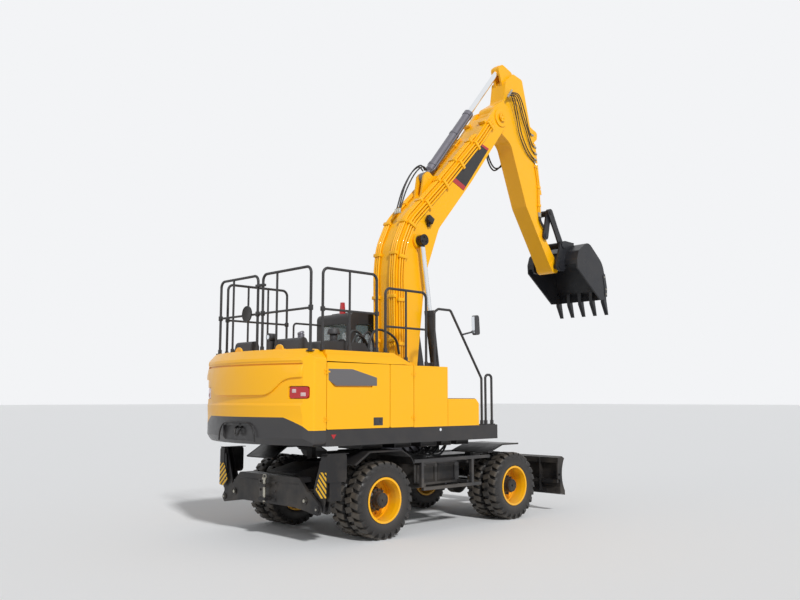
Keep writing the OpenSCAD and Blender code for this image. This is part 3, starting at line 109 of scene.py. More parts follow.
def pick(obj, test):
    """Opens obj for editing with the faces selected whose centre and normal pass the test."""
    only(obj)
    for group in (obj.data.vertices, obj.data.edges):
        for part in group:
            part.select = False
    for face in obj.data.polygons:
        face.select = test(face.center, face.normal)
    bpy.ops.object.mode_set(mode="EDIT")
    bpy.ops.mesh.select_mode(type="FACE")


def press(obj, test, rim, depth):
    """Insets the faces that pass the test by rim and moves what is inside out by depth, or in if it is negative."""
    pick(obj, test)
    bpy.ops.mesh.inset(thickness=rim, depth=depth)
    bpy.ops.object.mode_set(mode="OBJECT")
    return obj


def taper(obj, test, scale):
    """Scales the faces that pass the test about their middle."""
    pick(obj, test)
    bpy.ops.transform.resize(value=scale)
    bpy.ops.object.mode_set(mode="OBJECT")
    return obj


def soften(obj, width, segments=2):
    only(obj)
    edge = obj.modifiers.new("edge", "BEVEL")
    edge.width, edge.segments, edge.limit_method = width, segments, "ANGLE"
    bpy.ops.object.modifier_apply(modifier="edge")
    return obj


def tidy(obj, angle=35):
    """Merges doubles, turns all faces outwards and shades the curved ones smooth."""
    only(obj)
    bpy.ops.object.mode_set(mode="EDIT")
    bpy.ops.mesh.select_all(action="SELECT")
    bpy.ops.mesh.remove_doubles(threshold=0.00002)
    bpy.ops.mesh.normals_make_consistent(inside=False)
    bpy.ops.object.mode_set(mode="OBJECT")
    bpy.ops.object.shade_smooth_by_angle(angle=math.radians(angle))
    return obj


def drawn(name, points, closed):
    """A curve object through points, in its own plane where it is closed."""
    clear()
    bpy.ops.curve.primitive_nurbs_path_add(location=(0, 0, 0))
    obj = bpy.context.object
    obj.data.splines.clear()
    line = obj.data.splines.new("POLY")
    line.points.add(len(points) - 1)
    for knot, p in zip(line.points, points):
        knot.co = (*p, 1)
    line.use_cyclic_u = closed
    obj.data.resolution_u = 1
    return obj


def plate(name, outline, start, end, along="y"):
    """A plate with its outline in the plane across x, y or z, reaching from start to end on that axis."""
    obj = drawn(name, [(a, b, 0) for a, b in outline], True)
    obj.data.dimensions, obj.data.fill_mode = "2D", "BOTH"
    obj.data.extrude = abs(end - start) / 2
    middle = (start + end) / 2
    obj.rotation_euler = {"x": (math.pi / 2, 0, math.pi / 2), "y": (math.pi / 2, 0, 0), "z": (0, 0, 0)}[along]
    obj.location = {"x": (middle, 0, 0), "y": (0, middle, 0), "z": (0, 0, middle)}[along]
    bpy.ops.object.convert(target="MESH")
    return tidy(settled(name))


def side_plate(name, outline, start, end):
    """A plate that stands along the machine, all of it in millimetres: its outline as x and z, its reach along y."""
    return plate(name, [tuple(at(x, 0, z).xz) for x, z in outline], start / 1000, end / 1000)


def bent(points, bend, steps=5):
    """The points of a path with its corners rounded."""
    points = [Vector(p) for p in points]
    path = [points[0]]
    for before, corner, after in zip(points, points[1:], points[2:]):
        back, on = before - corner, after - corner
        reach = min(bend, back.length * 0.48, on.length * 0.48)
        a, b = corner + back.normalized() * reach, corner + on.normalized() * reach
        for i in range(steps + 1):
            t = i / steps
            path.append(a * (1 - t) ** 2 + corner * 2 * t * (1 - t) + b * t * t)
    return path + [points[-1]]


def flowing(points, steps=6):
    """A soft line through all the points."""
    points = [Vector(p) for p in points]
    ends = [points[0] * 2 - points[1]] + points + [points[-1] * 2 - points[-2]]
    path = []
    for a, b, c, d in zip(ends, ends[1:], ends[2:], ends[3:]):
        for i in range(steps):
            t = i / steps
            path.append(0.5 * (2 * b + (c - a) * t + (2 * a - 5 * b + 4 * c - d) * t * t
                               + (3 * b - a - 3 * c + d) * t ** 3))
    return path + [points[-1]]


def pipe(name, path, radius):
    """A round pipe or hose along a path."""
    obj = drawn(name, path, False)
    obj.data.dimensions = "3D"
    obj.data.bevel_depth, obj.data.bevel_resolution, obj.data.use_fill_caps = radius, 3, True
    bpy.ops.object.convert(target="MESH")
    return tidy(settled(name), 50)


def again(obj, name, matrix):
    """A copy with its own mesh, put where matrix says."""
    only(obj)
    bpy.ops.object.duplicate(linked=False)
    new = bpy.context.object
    new.name = new.data.name = name
    new.data.transform(matrix)
    return new


def joined(name, parts):
    only(parts[0])
    for part in parts:
        part.select_set(True)
    bpy.ops.object.join()
    obj = bpy.context.object
    obj.name = obj.data.name = name
    return obj


def fitted(obj, body, finish):
    """Gives a piece its finish and its colour slot, and lets it ride on a body."""
    clear()
    obj.data.materials.clear()
    obj.data.materials.append(finish.material)
    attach(obj, body)
    return obj


def slung(obj, start, end):
    """Puts a hose's place into its mesh and gives it the hose rubber; it rides on no body. Its start and end, the first
    on the boom and the second on the arm, are not used.
    """
    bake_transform(obj)
    clear()
    obj.data.materials.clear()
    obj.data.materials.append(hose_black.material)


def bolts(name, places, way, radius=14, reach=12):
    """Hexagon bolt heads with washers at places, standing out along way, in millimetres."""
    way = Vector(way)
    made = []
    for place in places:
        foot = at(*place)
        washer = drum("washer", foot, foot + way * 0.003, radius * 0.00135, 16)
        head = drum("head", foot + way * 0.003, foot + way * reach / 1000, radius / 1000, 6)
        press(head, lambda c, n: n.dot(way) > 0.9, radius * 0.00022, 0.001)
        made += [washer, head]
    return tidy(joined(name, made))


def part(name, x, y, z, turn=(0, 0, 0), edge=0.004):
    """A block with eased edges. Its reach along each axis is given as a pair in millimetres."""
    return soften(block(name, at(x[0], y[0], z[0]), at(x[1], y[1], z[1]), turn), edge)


def hose(name, points, radius, soft=True, bend=0.09):
    """A hose or pipe through points in millimetres, either flowing through them or straight with bent corners."""
    points = [at(*p) for p in points]
    return pipe(name, flowing(points) if soft else bent(points, bend), radius / 1000)


def ferrules(name, spots, radius, length=60):
    """Crimped end sleeves with a hexagon. Each spot is a place and the way the hose leaves it."""
    made = []
    for place, way in spots:
        foot, way = at(*place), Vector(way).normalized()
        made.append(drum("sleeve", foot, foot + way * length / 1000, radius / 1000, 16))
        made.append(drum("nut", foot - way * 0.02, foot + way * 0.004, radius * 0.00125, 6))
    return tidy(joined(name, made))


def pin_cap(name, x, z, out, side, radius):
    """Round cap of a pin, out from the boom's middle plane, with its dished face and three bolts."""
    y = BOOM_Y + side * out
    foot = at(x, y, z)
    way = Vector((0, side, 0))
    cap = drum("cap", foot, foot + way * 0.018, radius / 1000, 36)
    press(cap, lambda c, n: n.y * side > 0.9, radius * 0.00022, -0.006)
    soften(cap, 0.003)
    parts = [cap]
    for i in range(3):
        a = math.radians(90 + 120 * i)
        spot = (x + radius * 0.5 * math.cos(a), y + side * 12, z + radius * 0.5 * math.sin(a))
        parts.append(bolts("cap_bolt", [spot], way, 11, 14))
    return tidy(joined(name, parts))


# ---- finishes ----


class Wire:
    """What a node gives. Sums on it add Math nodes to its finish."""

    def __init__(self, finish, socket):
        self.finish, self.socket = finish, socket

    def sum(self, operation, *terms):
        return self.finish.node("ShaderNodeMath", {"operation": operation}, dict(enumerate(terms)))

    def __add__(self, other):
        return self.sum("ADD", self, other)

    def __sub__(self, other):
        return self.sum("SUBTRACT", self, other)

    def __rsub__(self, other):
        return self.sum("SUBTRACT", other, self)

    def __mul__(self, other):
        return self.sum("MULTIPLY", self, other)

    def __mod__(self, other):
        return self.sum("FLOORED_MODULO", self, other)

    def __gt__(self, other):
        return self.sum("GREATER_THAN", self, other)

    def __lt__(self, other):
        return self.sum("LESS_THAN", self, other)

    def __pow__(self, other):
        return self.sum("POWER", self, other)

    def __abs__(self):
        return self.sum("ABSOLUTE", self)


class Finish:
    """A material, built on one Principled shader."""

    def __init__(self, name, colour, roughness, metallic=0.0, coat=0.0, **more):
        self.material = bpy.data.materials.new(name)
        self.material.use_nodes = True
        self.tree = self.material.node_tree
        self.shader = self.tree.nodes["Principled BSDF"]
        self.colour = colour
        given = {"Base Color": colour, "Roughness": roughness, "Metallic": metallic, "Coat Weight": coat}
        given.update({key.replace("_", " ").title(): value for key, value in more.items()})
        for key, value in given.items():
            self.shader.inputs[key].default_value = value

    def node(self, kind, settings=None, sockets=None, output=0):
        """A new node with its settings and inputs filled in, given as the wire from one of its outputs."""
        made = self.tree.nodes.new(kind)
        for key, value in (settings or {}).items():
            setattr(made, key, value)
        for key, value in (sockets or {}).items():
            self.join(value, made.inputs[key])
        return Wire(self, made.outputs[output])

    def join(self, value, socket):
        if isinstance(value, Wire):
            self.tree.links.new(value.socket, socket)
        else:
            socket.default_value = value

    def shade(self, **values):
        for key, value in values.items():
            self.join(value, self.shader.inputs[key.replace("_", " ").title()])
        return self

    def place(self):
        return self.node("ShaderNodeTexCoord", output="Object")

    def axes(self):
        """The point's place, in metres from the slewing axis."""
        split = self.node("ShaderNodeSeparateXYZ", None, {0: self.place()}, "X")
        x, y, z = (Wire(self, split.socket.node.outputs[i]) for i in range(3))
        return x - SLEW_X, y, z

    def far_from(self, x, z):
        """The point's distance, in metres, from the line across the machine at x and z."""
        here_x, _, here_z = self.axes()
        return ((here_x - x) ** 2.0 + (here_z - z) ** 2.0) ** 0.5

    def noise(self, scale, detail=3.0, roughness=0.55):
        return self.node("ShaderNodeTexNoise", None,
                         {"Vector": self.place(), "Scale": scale, "Detail": detail, "Roughness": roughness}, "Fac")

    def blend(self, mask, a, b):
        return self.node("ShaderNodeMix", {"data_type": "RGBA"}, {0: mask, 6: a, 7: b}, 2)

    def spread(self, wire, low, high, start=0.0, end=1.0):
        return self.node("ShaderNodeMapRange", None, {0: wire, 1: low, 2: high, 3: start, 4: end})

    def rough(self, scale, strength, distance=0.001):
        """A fine grain that shows in the light only."""
        return self.shade(normal=self.node("ShaderNodeBump", None, {
            "Strength": strength, "Distance": distance, "Height": self.noise(scale)}))

    def worn(self, dust, amount, base=None):
        """Dust that gathers in patches and lies thicker near the ground."""
        height = self.axes()[2]
        patches = self.spread(self.noise(2.4, 5.0), 0.42, 0.72)
        low = self.spread(height, 1.5, 0.1, 0.25, 1.0)
        colour = self.blend(patches * low * amount, base or self.colour, dust)
        rough = self.shader.inputs["Roughness"].default_value
        self.shade(base_color=colour, roughness=self.spread(self.noise(7.0), 0.3, 0.7, rough - 0.06, rough + 0.08))
        return self


DUST = rgb(172, 158, 140)
YELLOW = rgb(250, 182, 12)
CHARCOAL = rgb(54, 53, 54)
SKIRT = rgb(60, 59, 60)
BLACK = rgb(34, 33, 34)
CHROME = rgb(236, 238, 240)
LAMP_RED = rgb(178, 16, 26)
SIGN_YELLOW = rgb(245, 190, 20)

yellow = Finish("yellow_paint", YELLOW, 0.34, coat=0.2).worn(DUST, 0.05)
charcoal = Finish("charcoal_paint", CHARCOAL, 0.44).worn(DUST, 0.1)
black = Finish("black_frame_paint", BLACK, 0.38).worn(DUST, 0.16)
gunmetal = Finish("cylinder_grey", rgb(116, 114, 122), 0.34, metallic=0.35).worn(DUST, 0.06)
bucket_black = Finish("bucket_black", rgb(38, 39, 43), 0.32).worn(DUST, 0.1).rough(30, 0.08)
# Dark grey of the side steps and deck studs, darkened further as a painted shade that stands for the shaded insides of
# the open step frames.
step_grey_painted_shade = Finish("step_grey_painted_shade", rgb(50, 49, 50), 0.45).worn(DUST, 0.2)
chrome = Finish("chrome_plate", CHROME, 0.14, metallic=1.0)
zinc = Finish("zinc_plate", rgb(176, 172, 160), 0.32, metallic=0.9)
hose_black = Finish("hose_rubber", rgb(32, 32, 33), 0.5).rough(500, 0.15, 0.0004)
plastic = Finish("moulded_plastic", rgb(58, 57, 59), 0.55).rough(220, 0.12, 0.0004)
mesh_grey = Finish("vent_grey", rgb(100, 98, 100), 0.5)
lamp_red = Finish("lamp_red", LAMP_RED, 0.12, coat=0.5)
lamp_clear = Finish("lamp_clear", rgb(222, 226, 230), 0.08, coat=0.6)
lamp_pale = Finish("lamp_pale", rgb(206, 178, 178), 0.15, coat=0.5)
mirror_glass = Finish("mirror_glass", rgb(226, 230, 234), 0.04, metallic=1.0)
cloth = Finish("seat_cloth", rgb(46, 46, 50), 0.85).rough(260, 0.3, 0.0006)
glass = Finish("tinted_glass", rgb(120, 138, 142), 0.05, coat=0.4, alpha=0.4)

# The counterweight and the tail of the deck are yellow above a charcoal skirt, whose top drops towards the doors.
body = Finish("two_tone_body", YELLOW, 0.34, coat=0.2)
body_x, _, body_z = body.axes()
skirt_top = body.spread(body_x, -2.649, -2.491, 1.667, 1.500)
body.worn(DUST, 0.05, body.blend(body_z < skirt_top, YELLOW, SKIRT))

# Rims are yellow with a black hub. The rubber grows darker from the sidewall towards the tread, a painted shade between
# its lugs, and is lighter in patches on the lugs.
wheel, rubber = {}, {}
for end, x in AXLES:
    tread = Finish("tyre_rubber_" + end, rgb(40, 38, 37), 0.5)
    far = tread.far_from(x / 1000, WHEEL_Z / 1000)
    lug = tread.blend(tread.spread(tread.noise(5.0, 5.0), 0.4, 0.7), rgb(62, 58, 54), rgb(88, 80, 70))
    # Painted shade: the rubber darkens outwards from 0.36 m to 0.42 m and stays dark out to the lugs' roots, where it
    # lies between the lugs.
    side = tread.blend(tread.spread(far, 0.36, 0.42), rgb(52, 49, 47), rgb(38, 36, 35))
    tread.shade(base_color=tread.blend(tread.spread(far, 0.497, 0.518), side, lug),
                roughness=tread.spread(tread.noise(9.0), 0.3, 0.7, 0.42, 0.62)).rough(120, 0.1, 0.0006)
    rubber[end] = tread
    rim = Finish("rim_yellow_" + end, YELLOW, 0.4, coat=0.2)
    in_hub = rim.far_from(x / 1000, WHEEL_Z / 1000) < 0.178
    wheel[end] = rim.worn(DUST, 0.25, rim.blend(in_hub, YELLOW, rgb(38, 36, 36)))

# Tail lamps and the roof's beacon are red, the work lamps on the roof black with clear faces.
lamps = Finish("lamp_lenses", LAMP_RED, 0.14, coat=0.5)
lamp_x = lamps.axes()[0]
work_lamp = lamps.blend(lamp_x > 0.938, BLACK, rgb(214, 218, 222))
lamps.shade(base_color=lamps.blend(lamp_x > 0.5, LAMP_RED, work_lamp))

# A rod is chromed up to its eye, which is painted.
rod_end = {}
for key, x, z, paint in (("lift", 0.380, 4.470, BLACK), ("arm", 2.840, 8.140, YELLOW)):
    rod = Finish("rod_with_painted_eye_" + key, CHROME, 0.14, metallic=1.0)
    eye = rod.far_from(x, z) < 0.115
    rod_end[key] = rod.shade(base_color=rod.blend(eye, CHROME, paint), metallic=1 - eye)

stripes = Finish("hazard_stripes", SIGN_YELLOW, 0.4)
_, stripe_y, stripe_z = stripes.axes()
stripe = ((abs(stripe_y) * 0.9 + stripe_z) % 0.078) > 0.036
stripes.shade(base_color=stripes.blend(stripe, rgb(28, 28, 28), SIGN_YELLOW))

NODE_FINISH = {
    yellow: "body_panels door_right_rear door_right_front door_left_rear door_left_front boom arm"
            " bucket_cylinder_barrel",
    body: "counterweight",
    charcoal: "upper_deck engine_hood cab_shell cab_door handrails",
    black: "chassis_frame front_axle rear_axle knuckle_left knuckle_right mudguards outrigger_beam outrigger_left"
           " outrigger_right outrigger_barrel_left outrigger_barrel_right dozer_blade blade_cylinder_barrels"
           " boom_cylinder_barrels",
    gunmetal: "arm_cylinder_barrel slew_ring engine_block valve_block",
    bucket_black: "bucket bucket_link rocker_links",
    step_grey_painted_shade: "side_steps",
    chrome: "steering_rod blade_cylinder_rods outrigger_rod_left outrigger_rod_right bucket_cylinder_rod",
    rod_end["lift"]: "boom_cylinder_rods",
    rod_end["arm"]: "arm_cylinder_rod",
    plastic: "cab_interior tail_covers mirrors",
    lamps: "lamps",
    glass: "cab_glass",
    rubber["front"]: "tyres_front_left tyres_front_right",
    rubber["rear"]: "tyres_rear_left tyres_rear_right",
    wheel["front"]: "rims_front_left rims_front_right",
    wheel["rear"]: "rims_rear_left rims_rear_right",
}
for paint in (yellow, body, wheel["front"], wheel["rear"], charcoal, black, bucket_black):
    paint.shader.inputs["Specular IOR Level"].default_value = 0.3
for finish, names in NODE_FINISH.items():
    for name in names.split():
        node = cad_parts[name]
        node.data.materials.clear()
        node.data.materials.append(finish.material)

# ---- boom ----

BOOM_BACK = [(-95, 2420), (-95, 3000), (-110, 3900), (-60, 4350), (170, 4830), (924, 5563), (1928, 6608), (2250, 7010)]


def aside(path, out):
    """The outline moved out, or inwards if out is negative, square to its way."""
    shifted = []
    for i, p in enumerate(path):
        way = (Vector(path[min(i + 1, len(path) - 1)]) - Vector(path[max(i - 1, 0)])).normalized()
        shifted.append((p[0] - way.y * out, p[1] + way.x * out))
    return shifted


def walked(path, far):
    """The point at a distance along a path, and the way's angle there."""
    for a, b in zip(path, path[1:]):
        a, b = Vector(a), Vector(b)
        if far <= (b - a).length:
            way = (b - a).normalized()
            return a + way * far, math.atan2(way.y, way.x)
        far -= (b - a).length


PIPE_RADIUS = 0.017
side_y = BOOM_Y - 250 - 24  # the pipes on the boom's right side run clear of its plate
rows = (("side_pipe", 8, [(-52, side_y), (-104, side_y), (-156, side_y)]),
        ("back_pipe_right", 7, [(24, BOOM_Y - d) for d in (138, 184, 228)]),
        ("back_pipe_left", 7, [(24, BOOM_Y + d) for d in (138, 184, 228)]))
for name, stop, row in rows:
    for i, (out, y) in enumerate(row):
        line = [at(px, y, pz) for px, pz in aside(BOOM_BACK, out)[:stop]]
        fitted(pipe(f"{name}_{i + 1}", bent(line, 0.16), PIPE_RADIUS), "boom_body", yellow)


def clamp(name, middle, half, turn):
    """A clamp bar over a row of pipes."""
    return soften(block(name, middle - half, middle + half, (0, turn, 0)), 0.006)


clamps = []
for far in (350, 1050, 1750, 2350, 2900, 3500, 4100, 4700, 5300):
    spot, angle = walked(aside(BOOM_BACK, -104), far)
    clamps.append(clamp("side_clamp", at(spot.x, side_y - 6, spot.y), Vector((0.028, 0.026, 0.09)), -angle))
    spot, angle = walked(aside(BOOM_BACK, 28), far + 60)
    for side in (-1, 1):
        middle = at(spot.x, BOOM_Y + side * 183, spot.y)
        clamps.append(clamp("back_clamp", middle, Vector((0.028, 0.078, 0.026)), -angle))
fitted(tidy(joined("pipe_clamps", clamps)), "boom_body", yellow)

for side, word in RIGHT_LEFT:
    fitted(pin_cap("boom_tip_cap_" + word, 2590, 7090, 290, side, 78), "arm_body", yellow)
for side, word in RIGHT_LEFT:
    fitted(pin_cap("boom_foot_cap_" + word, 150, 2000, 308, side, 70), "upper_body", charcoal)

# Four-sided plate on each side of the boom, bare
for side, word in RIGHT_LEFT:
    y = BOOM_Y + side * 250
    panel = side_plate("boom_panel_" + word, [(1995, 6480), (2232, 6420), (1530, 5520), (1180, 5655)], y, y + side * 5)
    fitted(panel, "boom_body", charcoal)

# ---- wheels ----

HALF_TYRE = [(300, -100), (313, -116), (331, -128), (360, -135), (401, -138), (440, -137), (465, -130), (484, -119),
             (493, -104), (495, -60)]
TYRE_SECTION = HALF_TYRE + [(r, -y) for r, y in reversed(HALF_TYRE)]
LUG_SECTION = [(-8, 488), (-4, 525.5), (106, 525.5), (129, 511), (138.8, 478), (138.8, 440), (130, 436), (112, 478)]


def tyre():
    """One tyre about the Y axis, its section spun round and then set with lugs."""
    obj = drawn("tyre", [(r / 1000, y / 1000, 0) for r, y in TYRE_SECTION], True)
    bpy.ops.object.convert(target="MESH")
    only(obj)
    bpy.ops.object.mode_set(mode="EDIT")
    bpy.ops.mesh.select_all(action="SELECT")
    bpy.ops.mesh.spin(steps=72, angle=math.tau, center=(0, 0, 0), axis=(0, 1, 0))
    bpy.ops.object.mode_set(mode="OBJECT")
    parts = [tidy(obj, 40)]
    for side in (-1, 1):
        lug = plate("lug", [(side * y / 1000, z / 1000) for y, z in LUG_SECTION], -0.041, 0.041, "x")
        taper(lug, lambda c, n: n.z > 0.9, (0.86, 1, 1))
        soften(lug, 0.004, 1)
        lug.data.transform(Matrix.Rotation(math.radians(side * 14), 4, "Z"))
        for i in range(25):
            turn = Matrix.Rotation(math.tau * (i + side * 0.25) / 25, 4, "Y")
            parts.append(again(lug, "lug", turn))
        bpy.data.objects.remove(lug)
    return joined("tyre", parts)


def hub(name, x, side):
    """Nuts on the rim's flange and the planetary hub that stands out in the middle, with its bolts and plug."""
    cap = drum("cap", at(x, side * 1150, WHEEL_Z), at(x, side * 1212, WHEEL_Z), 0.108, 40, 0.100)
    press(cap, lambda c, n: n.y * side > 0.9, 0.016, -0.004)
    press(cap, lambda c, n: n.y * side > 0.9, 0.04, 0.008)
    made = [soften(cap, 0.004), drum("plug", at(x, side * 1212, WHEEL_Z), at(x, side * 1230, WHEEL_Z), 0.018, 6)]
    for count, reach, y, radius, length in ((10, 138, 1103, 14, 24), (8, 84, 1208, 9, 12)):
        for i in range(count):
            a = math.tau * (i + 0.5) / count
            spot = at(x + reach * math.cos(a), side * y, WHEEL_Z + reach * math.sin(a))
            made.append(drum("nut", spot, spot + Vector((0, side * length / 1000, 0)), radius / 1000, 6))
    return tidy(joined(name, made))


# Where each tyre of a pair stands across the machine, and how far it is turned so that their lugs don't line up
INNER_TYRE, OUTER_TYRE = (816, 0), (1136, 0.07)
model = tyre()
for end, x in AXLES:
    for side, word in LEFT_RIGHT:
        pair = joined("tyres_%s_%s_treaded" % (end, word), [
            again(model, "tyre", Matrix.Translation(at(x, side * y, WHEEL_Z))
                  @ Matrix.Rotation(0.11 * side + turn, 4, "Y")) for y, turn in (INNER_TYRE, OUTER_TYRE)])
        fitted(pair, "wheel_%s_%s" % (end, word), rubber[end])
        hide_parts("tyres_%s_%s" % (end, word))
        fitted(hub(f"hub_{end}_{word}", x, side), f"wheel_{end}_{word}", black)
bpy.data.objects.remove(model)

# ---- doors, counterweight and deck ----

VENT = [(-2211, 2298), (-1800, 2303), (-1353, 2196), (-1352, 2086), (-2081, 2078), (-2209, 2151)]
vent = side_plate("door_vent_right", VENT, -1253.5, -1249.5)
fitted(press(vent, lambda c, n: n.y < -0.9, 0.010, 0.003), "right_rear_door", mesh_grey)
slats = [part("slat", (-2060 - i * 17, -1385), (-1256, -1252), (2100 + i * 18, 2106 + i * 18), edge=0.001)
         for i in range(6)]
fitted(tidy(joined("door_vent_slats", slats)), "right_rear_door", mesh_grey)


def latch(name, x, z, side, body_name):
    """Flush paddle latch in its frame, with a key barrel."""
    y = side * SIDE
    frame_part = part("latch_frame", (x - 86, x + 86), sorted((y - side * 6, y + side * 5)), (z - 55, z + 55),
                      edge=0.006)
    press(frame_part, lambda c, n: n.y * side > 0.9, 0.008, -0.004)
    paddle = part("paddle", (x - 62, x + 6), sorted((y, y + side * 7)), (z - 40, z + 40), edge=0.005)
    key = drum("key", at(x + 46, y, z), at(x + 46, y + side * 8, z), 0.017, 20)
    fitted(tidy(joined(name, [frame_part, paddle, key])), body_name, plastic)


latch("latch_right_rear", -1325, 1600, -1, "right_rear_door")
latch("latch_left_rear", -1240, 1640, 1, "left_rear_door")
latch("latch_left_front", -960, 1640, 1, "left_front_door")

marker = drum("side_marker", at(-75, -1248, 1458), at(-75, -1256, 1458), 0.022, 24)
fitted(soften(marker, 0.003), "upper_body", lamp_clear)
reflector = side_plate("side_reflector", [(-2162, 1443), (-2074, 1443), (-2118, 1383)], -1254, -1249)
fitted(reflector, "upper_body", lamp_red)


def lifting_lug(name, x, y, z, turn):
    """Eye plate on a foot, for slinging."""
    eye = plate("eye", [(-0.09, 0), (0.09, 0), (0.06, 0.05), (0.02, 0.07), (-0.02, 0.07), (-0.06, 0.05)], -0.014, 0.014)
    foot = block("foot", (-0.1, -0.03, 0), (0.1, 0.03, 0.008))
    lug = joined(name, [soften(eye, 0.003), foot])
    lug.data.transform(Matrix.Translation(at(x, y, z)) @ Matrix.Rotation(math.radians(turn), 4, "Z"))
    return tidy(lug)


for i, spot in enumerate([(-2560, 330, 2560, 90), (-2560, -640, 2560, 90), (-340, -900, 2384, 0)]):
    fitted(lifting_lug("lifting_lug_%d" % (i + 1), *spot), "upper_body", yellow)

cap = drum("tank_cap", at(5, -1000, 2384), at(5, -1000, 2440), 0.065, 32)
press(cap, lambda c, n: n.z > 0.9, 0.012, 0.012)
fitted(tidy(soften(cap, 0.005)), "upper_body", plastic)
treads = []
for x0, x1, z in ((120, 790, 1911), (830, 1180, 1506)):
    for i in range(int((x1 - x0) / 60)):
        for y in (-1210, -1090, -970, -850):
            treads.append(part("stud", (x0 + i * 60, x0 + i * 60 + 34), (y, y + 62), (z, z + 7), edge=0.002))
fitted(tidy(joined("step_treads", treads)), "upper_body", step_grey_painted_shade)

# Feet of the handrails, and clips where the rails meet
RAIL_FEET = [
    (-2240, -1150, 2550), (-1771, -1150, 2550), (-1267, -1150, 2550), (-1100, -1150, 2550), (-690, -1150, 2434),
    (-270, -1150, 2384), (-90, -1150, 2384), (985, -1150, 1505), (1080, -1150, 1505), (1230, -1150, 1505),
    (-2450, -1162, 2530), (-2450, -409, 2560), (-2450, -76, 2560), (-2450, 46, 2560), (-2450, 669, 2560),
    (-2450, 1005, 2560), (-2240, 1150, 2550), (-1870, 1150, 2550), (-1500, 1150, 2550), (-1130, 1150, 2550),
]
feet = []
for x, y, z in RAIL_FEET:
    feet.append(part("rail_foot", (x - 46, x + 46), (y - 34, y + 34), (z - 4, z + 12)))
    feet.append(drum("collar", at(x, y, z + 8), at(x, y, z + 70), 0.028, 20))
fitted(tidy(joined("rail_feet", feet)), "upper_body", charcoal)
clips = [part("clip", (-2474, -2426), (y - 26, y + 26), (3062, 3132), edge=0.006) for y in (-1162, -76, 46, 1005)]
for x, y in ((-2240, -1150), (-1267, -1150), (-2240, 1150), (-1130, 1150)):
    clips.append(part("clip", (x - 26, x + 26), (y - 24, y + 24), (3064, 3128), edge=0.006))
clips.append(part("clip", (-2480, -2420), (-110, 80), (3480, 3516), edge=0.006))
fitted(tidy(joined("rail_clips", clips)), "upper_body", charcoal)

# ---- hoses and lamps of the boom and arm ----

lamp_box = part("boom_lamp", (555, 690), (BOOM_Y - 345, BOOM_Y - 262), (4800, 4910), (0, math.radians(28), 0), 0.012)
press(lamp_box, lambda c, n: n.x > 0.6, 0.010, -0.008)
stay = part("stay", (600, 640), (BOOM_Y - 300, BOOM_Y - 250), (4740, 4830))
fitted(tidy(joined("boom_work_lamp", [lamp_box, stay])), "boom_body", black)

for i, (y, out) in enumerate(((-150, 0), (-110, 60), (-60, 20))):
    fitted(hose("arm_cylinder_hose_%d" % (i + 1), [
        (800, y, 5780), (680, y - 10, 5815 + out * 0.5), (470, y - 30, 5640 + out), (260, y - 50, 5330 + out),
        (140, y - 60, 5060), (95, y - 64, 4935)], 12), "boom_body", hose_black)
fitted(ferrules("arm_cylinder_fittings", [((90, y - 64, 4930), (0.1, 0, 1)) for y in (-150, -110, -60)], 21),
       "boom_body", zinc)

# Hoses from the boom's pipes to the arm: where each leaves the boom, hangs and meets its fitting
ARM_HOSES = [
    [(2795, -349, 7545), (2930, -338, 7580), (3090, -306, 7265), (3208, -290, 6910), (3417, -276, 6627),
     (3640, -266, 6500), (3721, -264, 6469)],
    [(2815, -356, 7572), (2985, -344, 7590), (3138, -312, 7280), (3262, -296, 6950), (3462, -280, 6690),
     (3650, -266, 6560), (3733, -264, 6536)],
    [(2835, -349, 7600), (3070, -338, 7600), (3263, -306, 7307), (3428, -290, 7015), (3560, -276, 6770),
     (3680, -266, 6670), (3745, -264, 6652)],
    [(2858, -356, 7628), (3110, -344, 7630), (3300, -312, 7340), (3452, -296, 7080), (3570, -280, 6880),
     (3660, -266, 6800), (3726, -264, 6780)],
    [(2880, -349, 7655), (3150, -338, 7668), (3369, -306, 7389), (3460, -290, 7189), (3534, -276, 7060),
     (3600, -266, 7015), (3649, -264, 7010)],
]
for i, line in enumerate(ARM_HOSES):
    slung(hose("arm_hose_%d" % (i + 1), line, 10), at(2795, -349, 7545), at(3400, -282, 6860))

for side, word in RIGHT_LEFT:
    # The boom panel's red ends, set on the bare plate
    start, end = sorted((BOOM_Y + side * 254, BOOM_Y + side * 257))
    ends = [side_plate("panel_end", corners, start, end) for corners in (
        ((1180, 5655), (1530, 5520), (1590, 5597), (1248, 5731)),
        ((1960, 6451), (2196, 6374), (2232, 6420), (1995, 6480)))]
    fitted(joined("boom_panel_ends_" + word, ends), "boom_body", lamp_red)
    # Black cap over the lift cylinder's pin
    fitted(pin_cap("boom_lift_cap_" + word, 380, 4470, 404, side, 92), "boom_body", black)

# ---- cylinders ----


def bands(name, start, end, y, spots, radius, width=50):
    """Clamp bands round a barrel that runs between two eyes, with a lug on each for the pipe beside it."""
    a, b = at(start[0], y, start[1]), at(end[0], y, end[1])
    way = (b - a).normalized()
    made = []
    for far in spots:
        foot = a + way * far / 1000
        band = drum("band", foot, foot + way * width / 1000, (radius + 9) / 1000, 32)
        pick(band, lambda c, n: abs(n.dot(way)) > 0.9)
        bpy.ops.mesh.delete(type="FACE")
        bpy.ops.object.mode_set(mode="OBJECT")
        wall = band.modifiers.new("wall", "SOLIDIFY")
        wall.thickness = 0.012
        bpy.ops.object.modifier_apply(modifier="wall")
        made.append(band)
        middle = foot + way * width / 2000
        made.append(drum("lug", middle, middle - Vector((0, (radius + 34) / 1000, 0)), 0.018, 12))
    return tidy(joined(name, made))


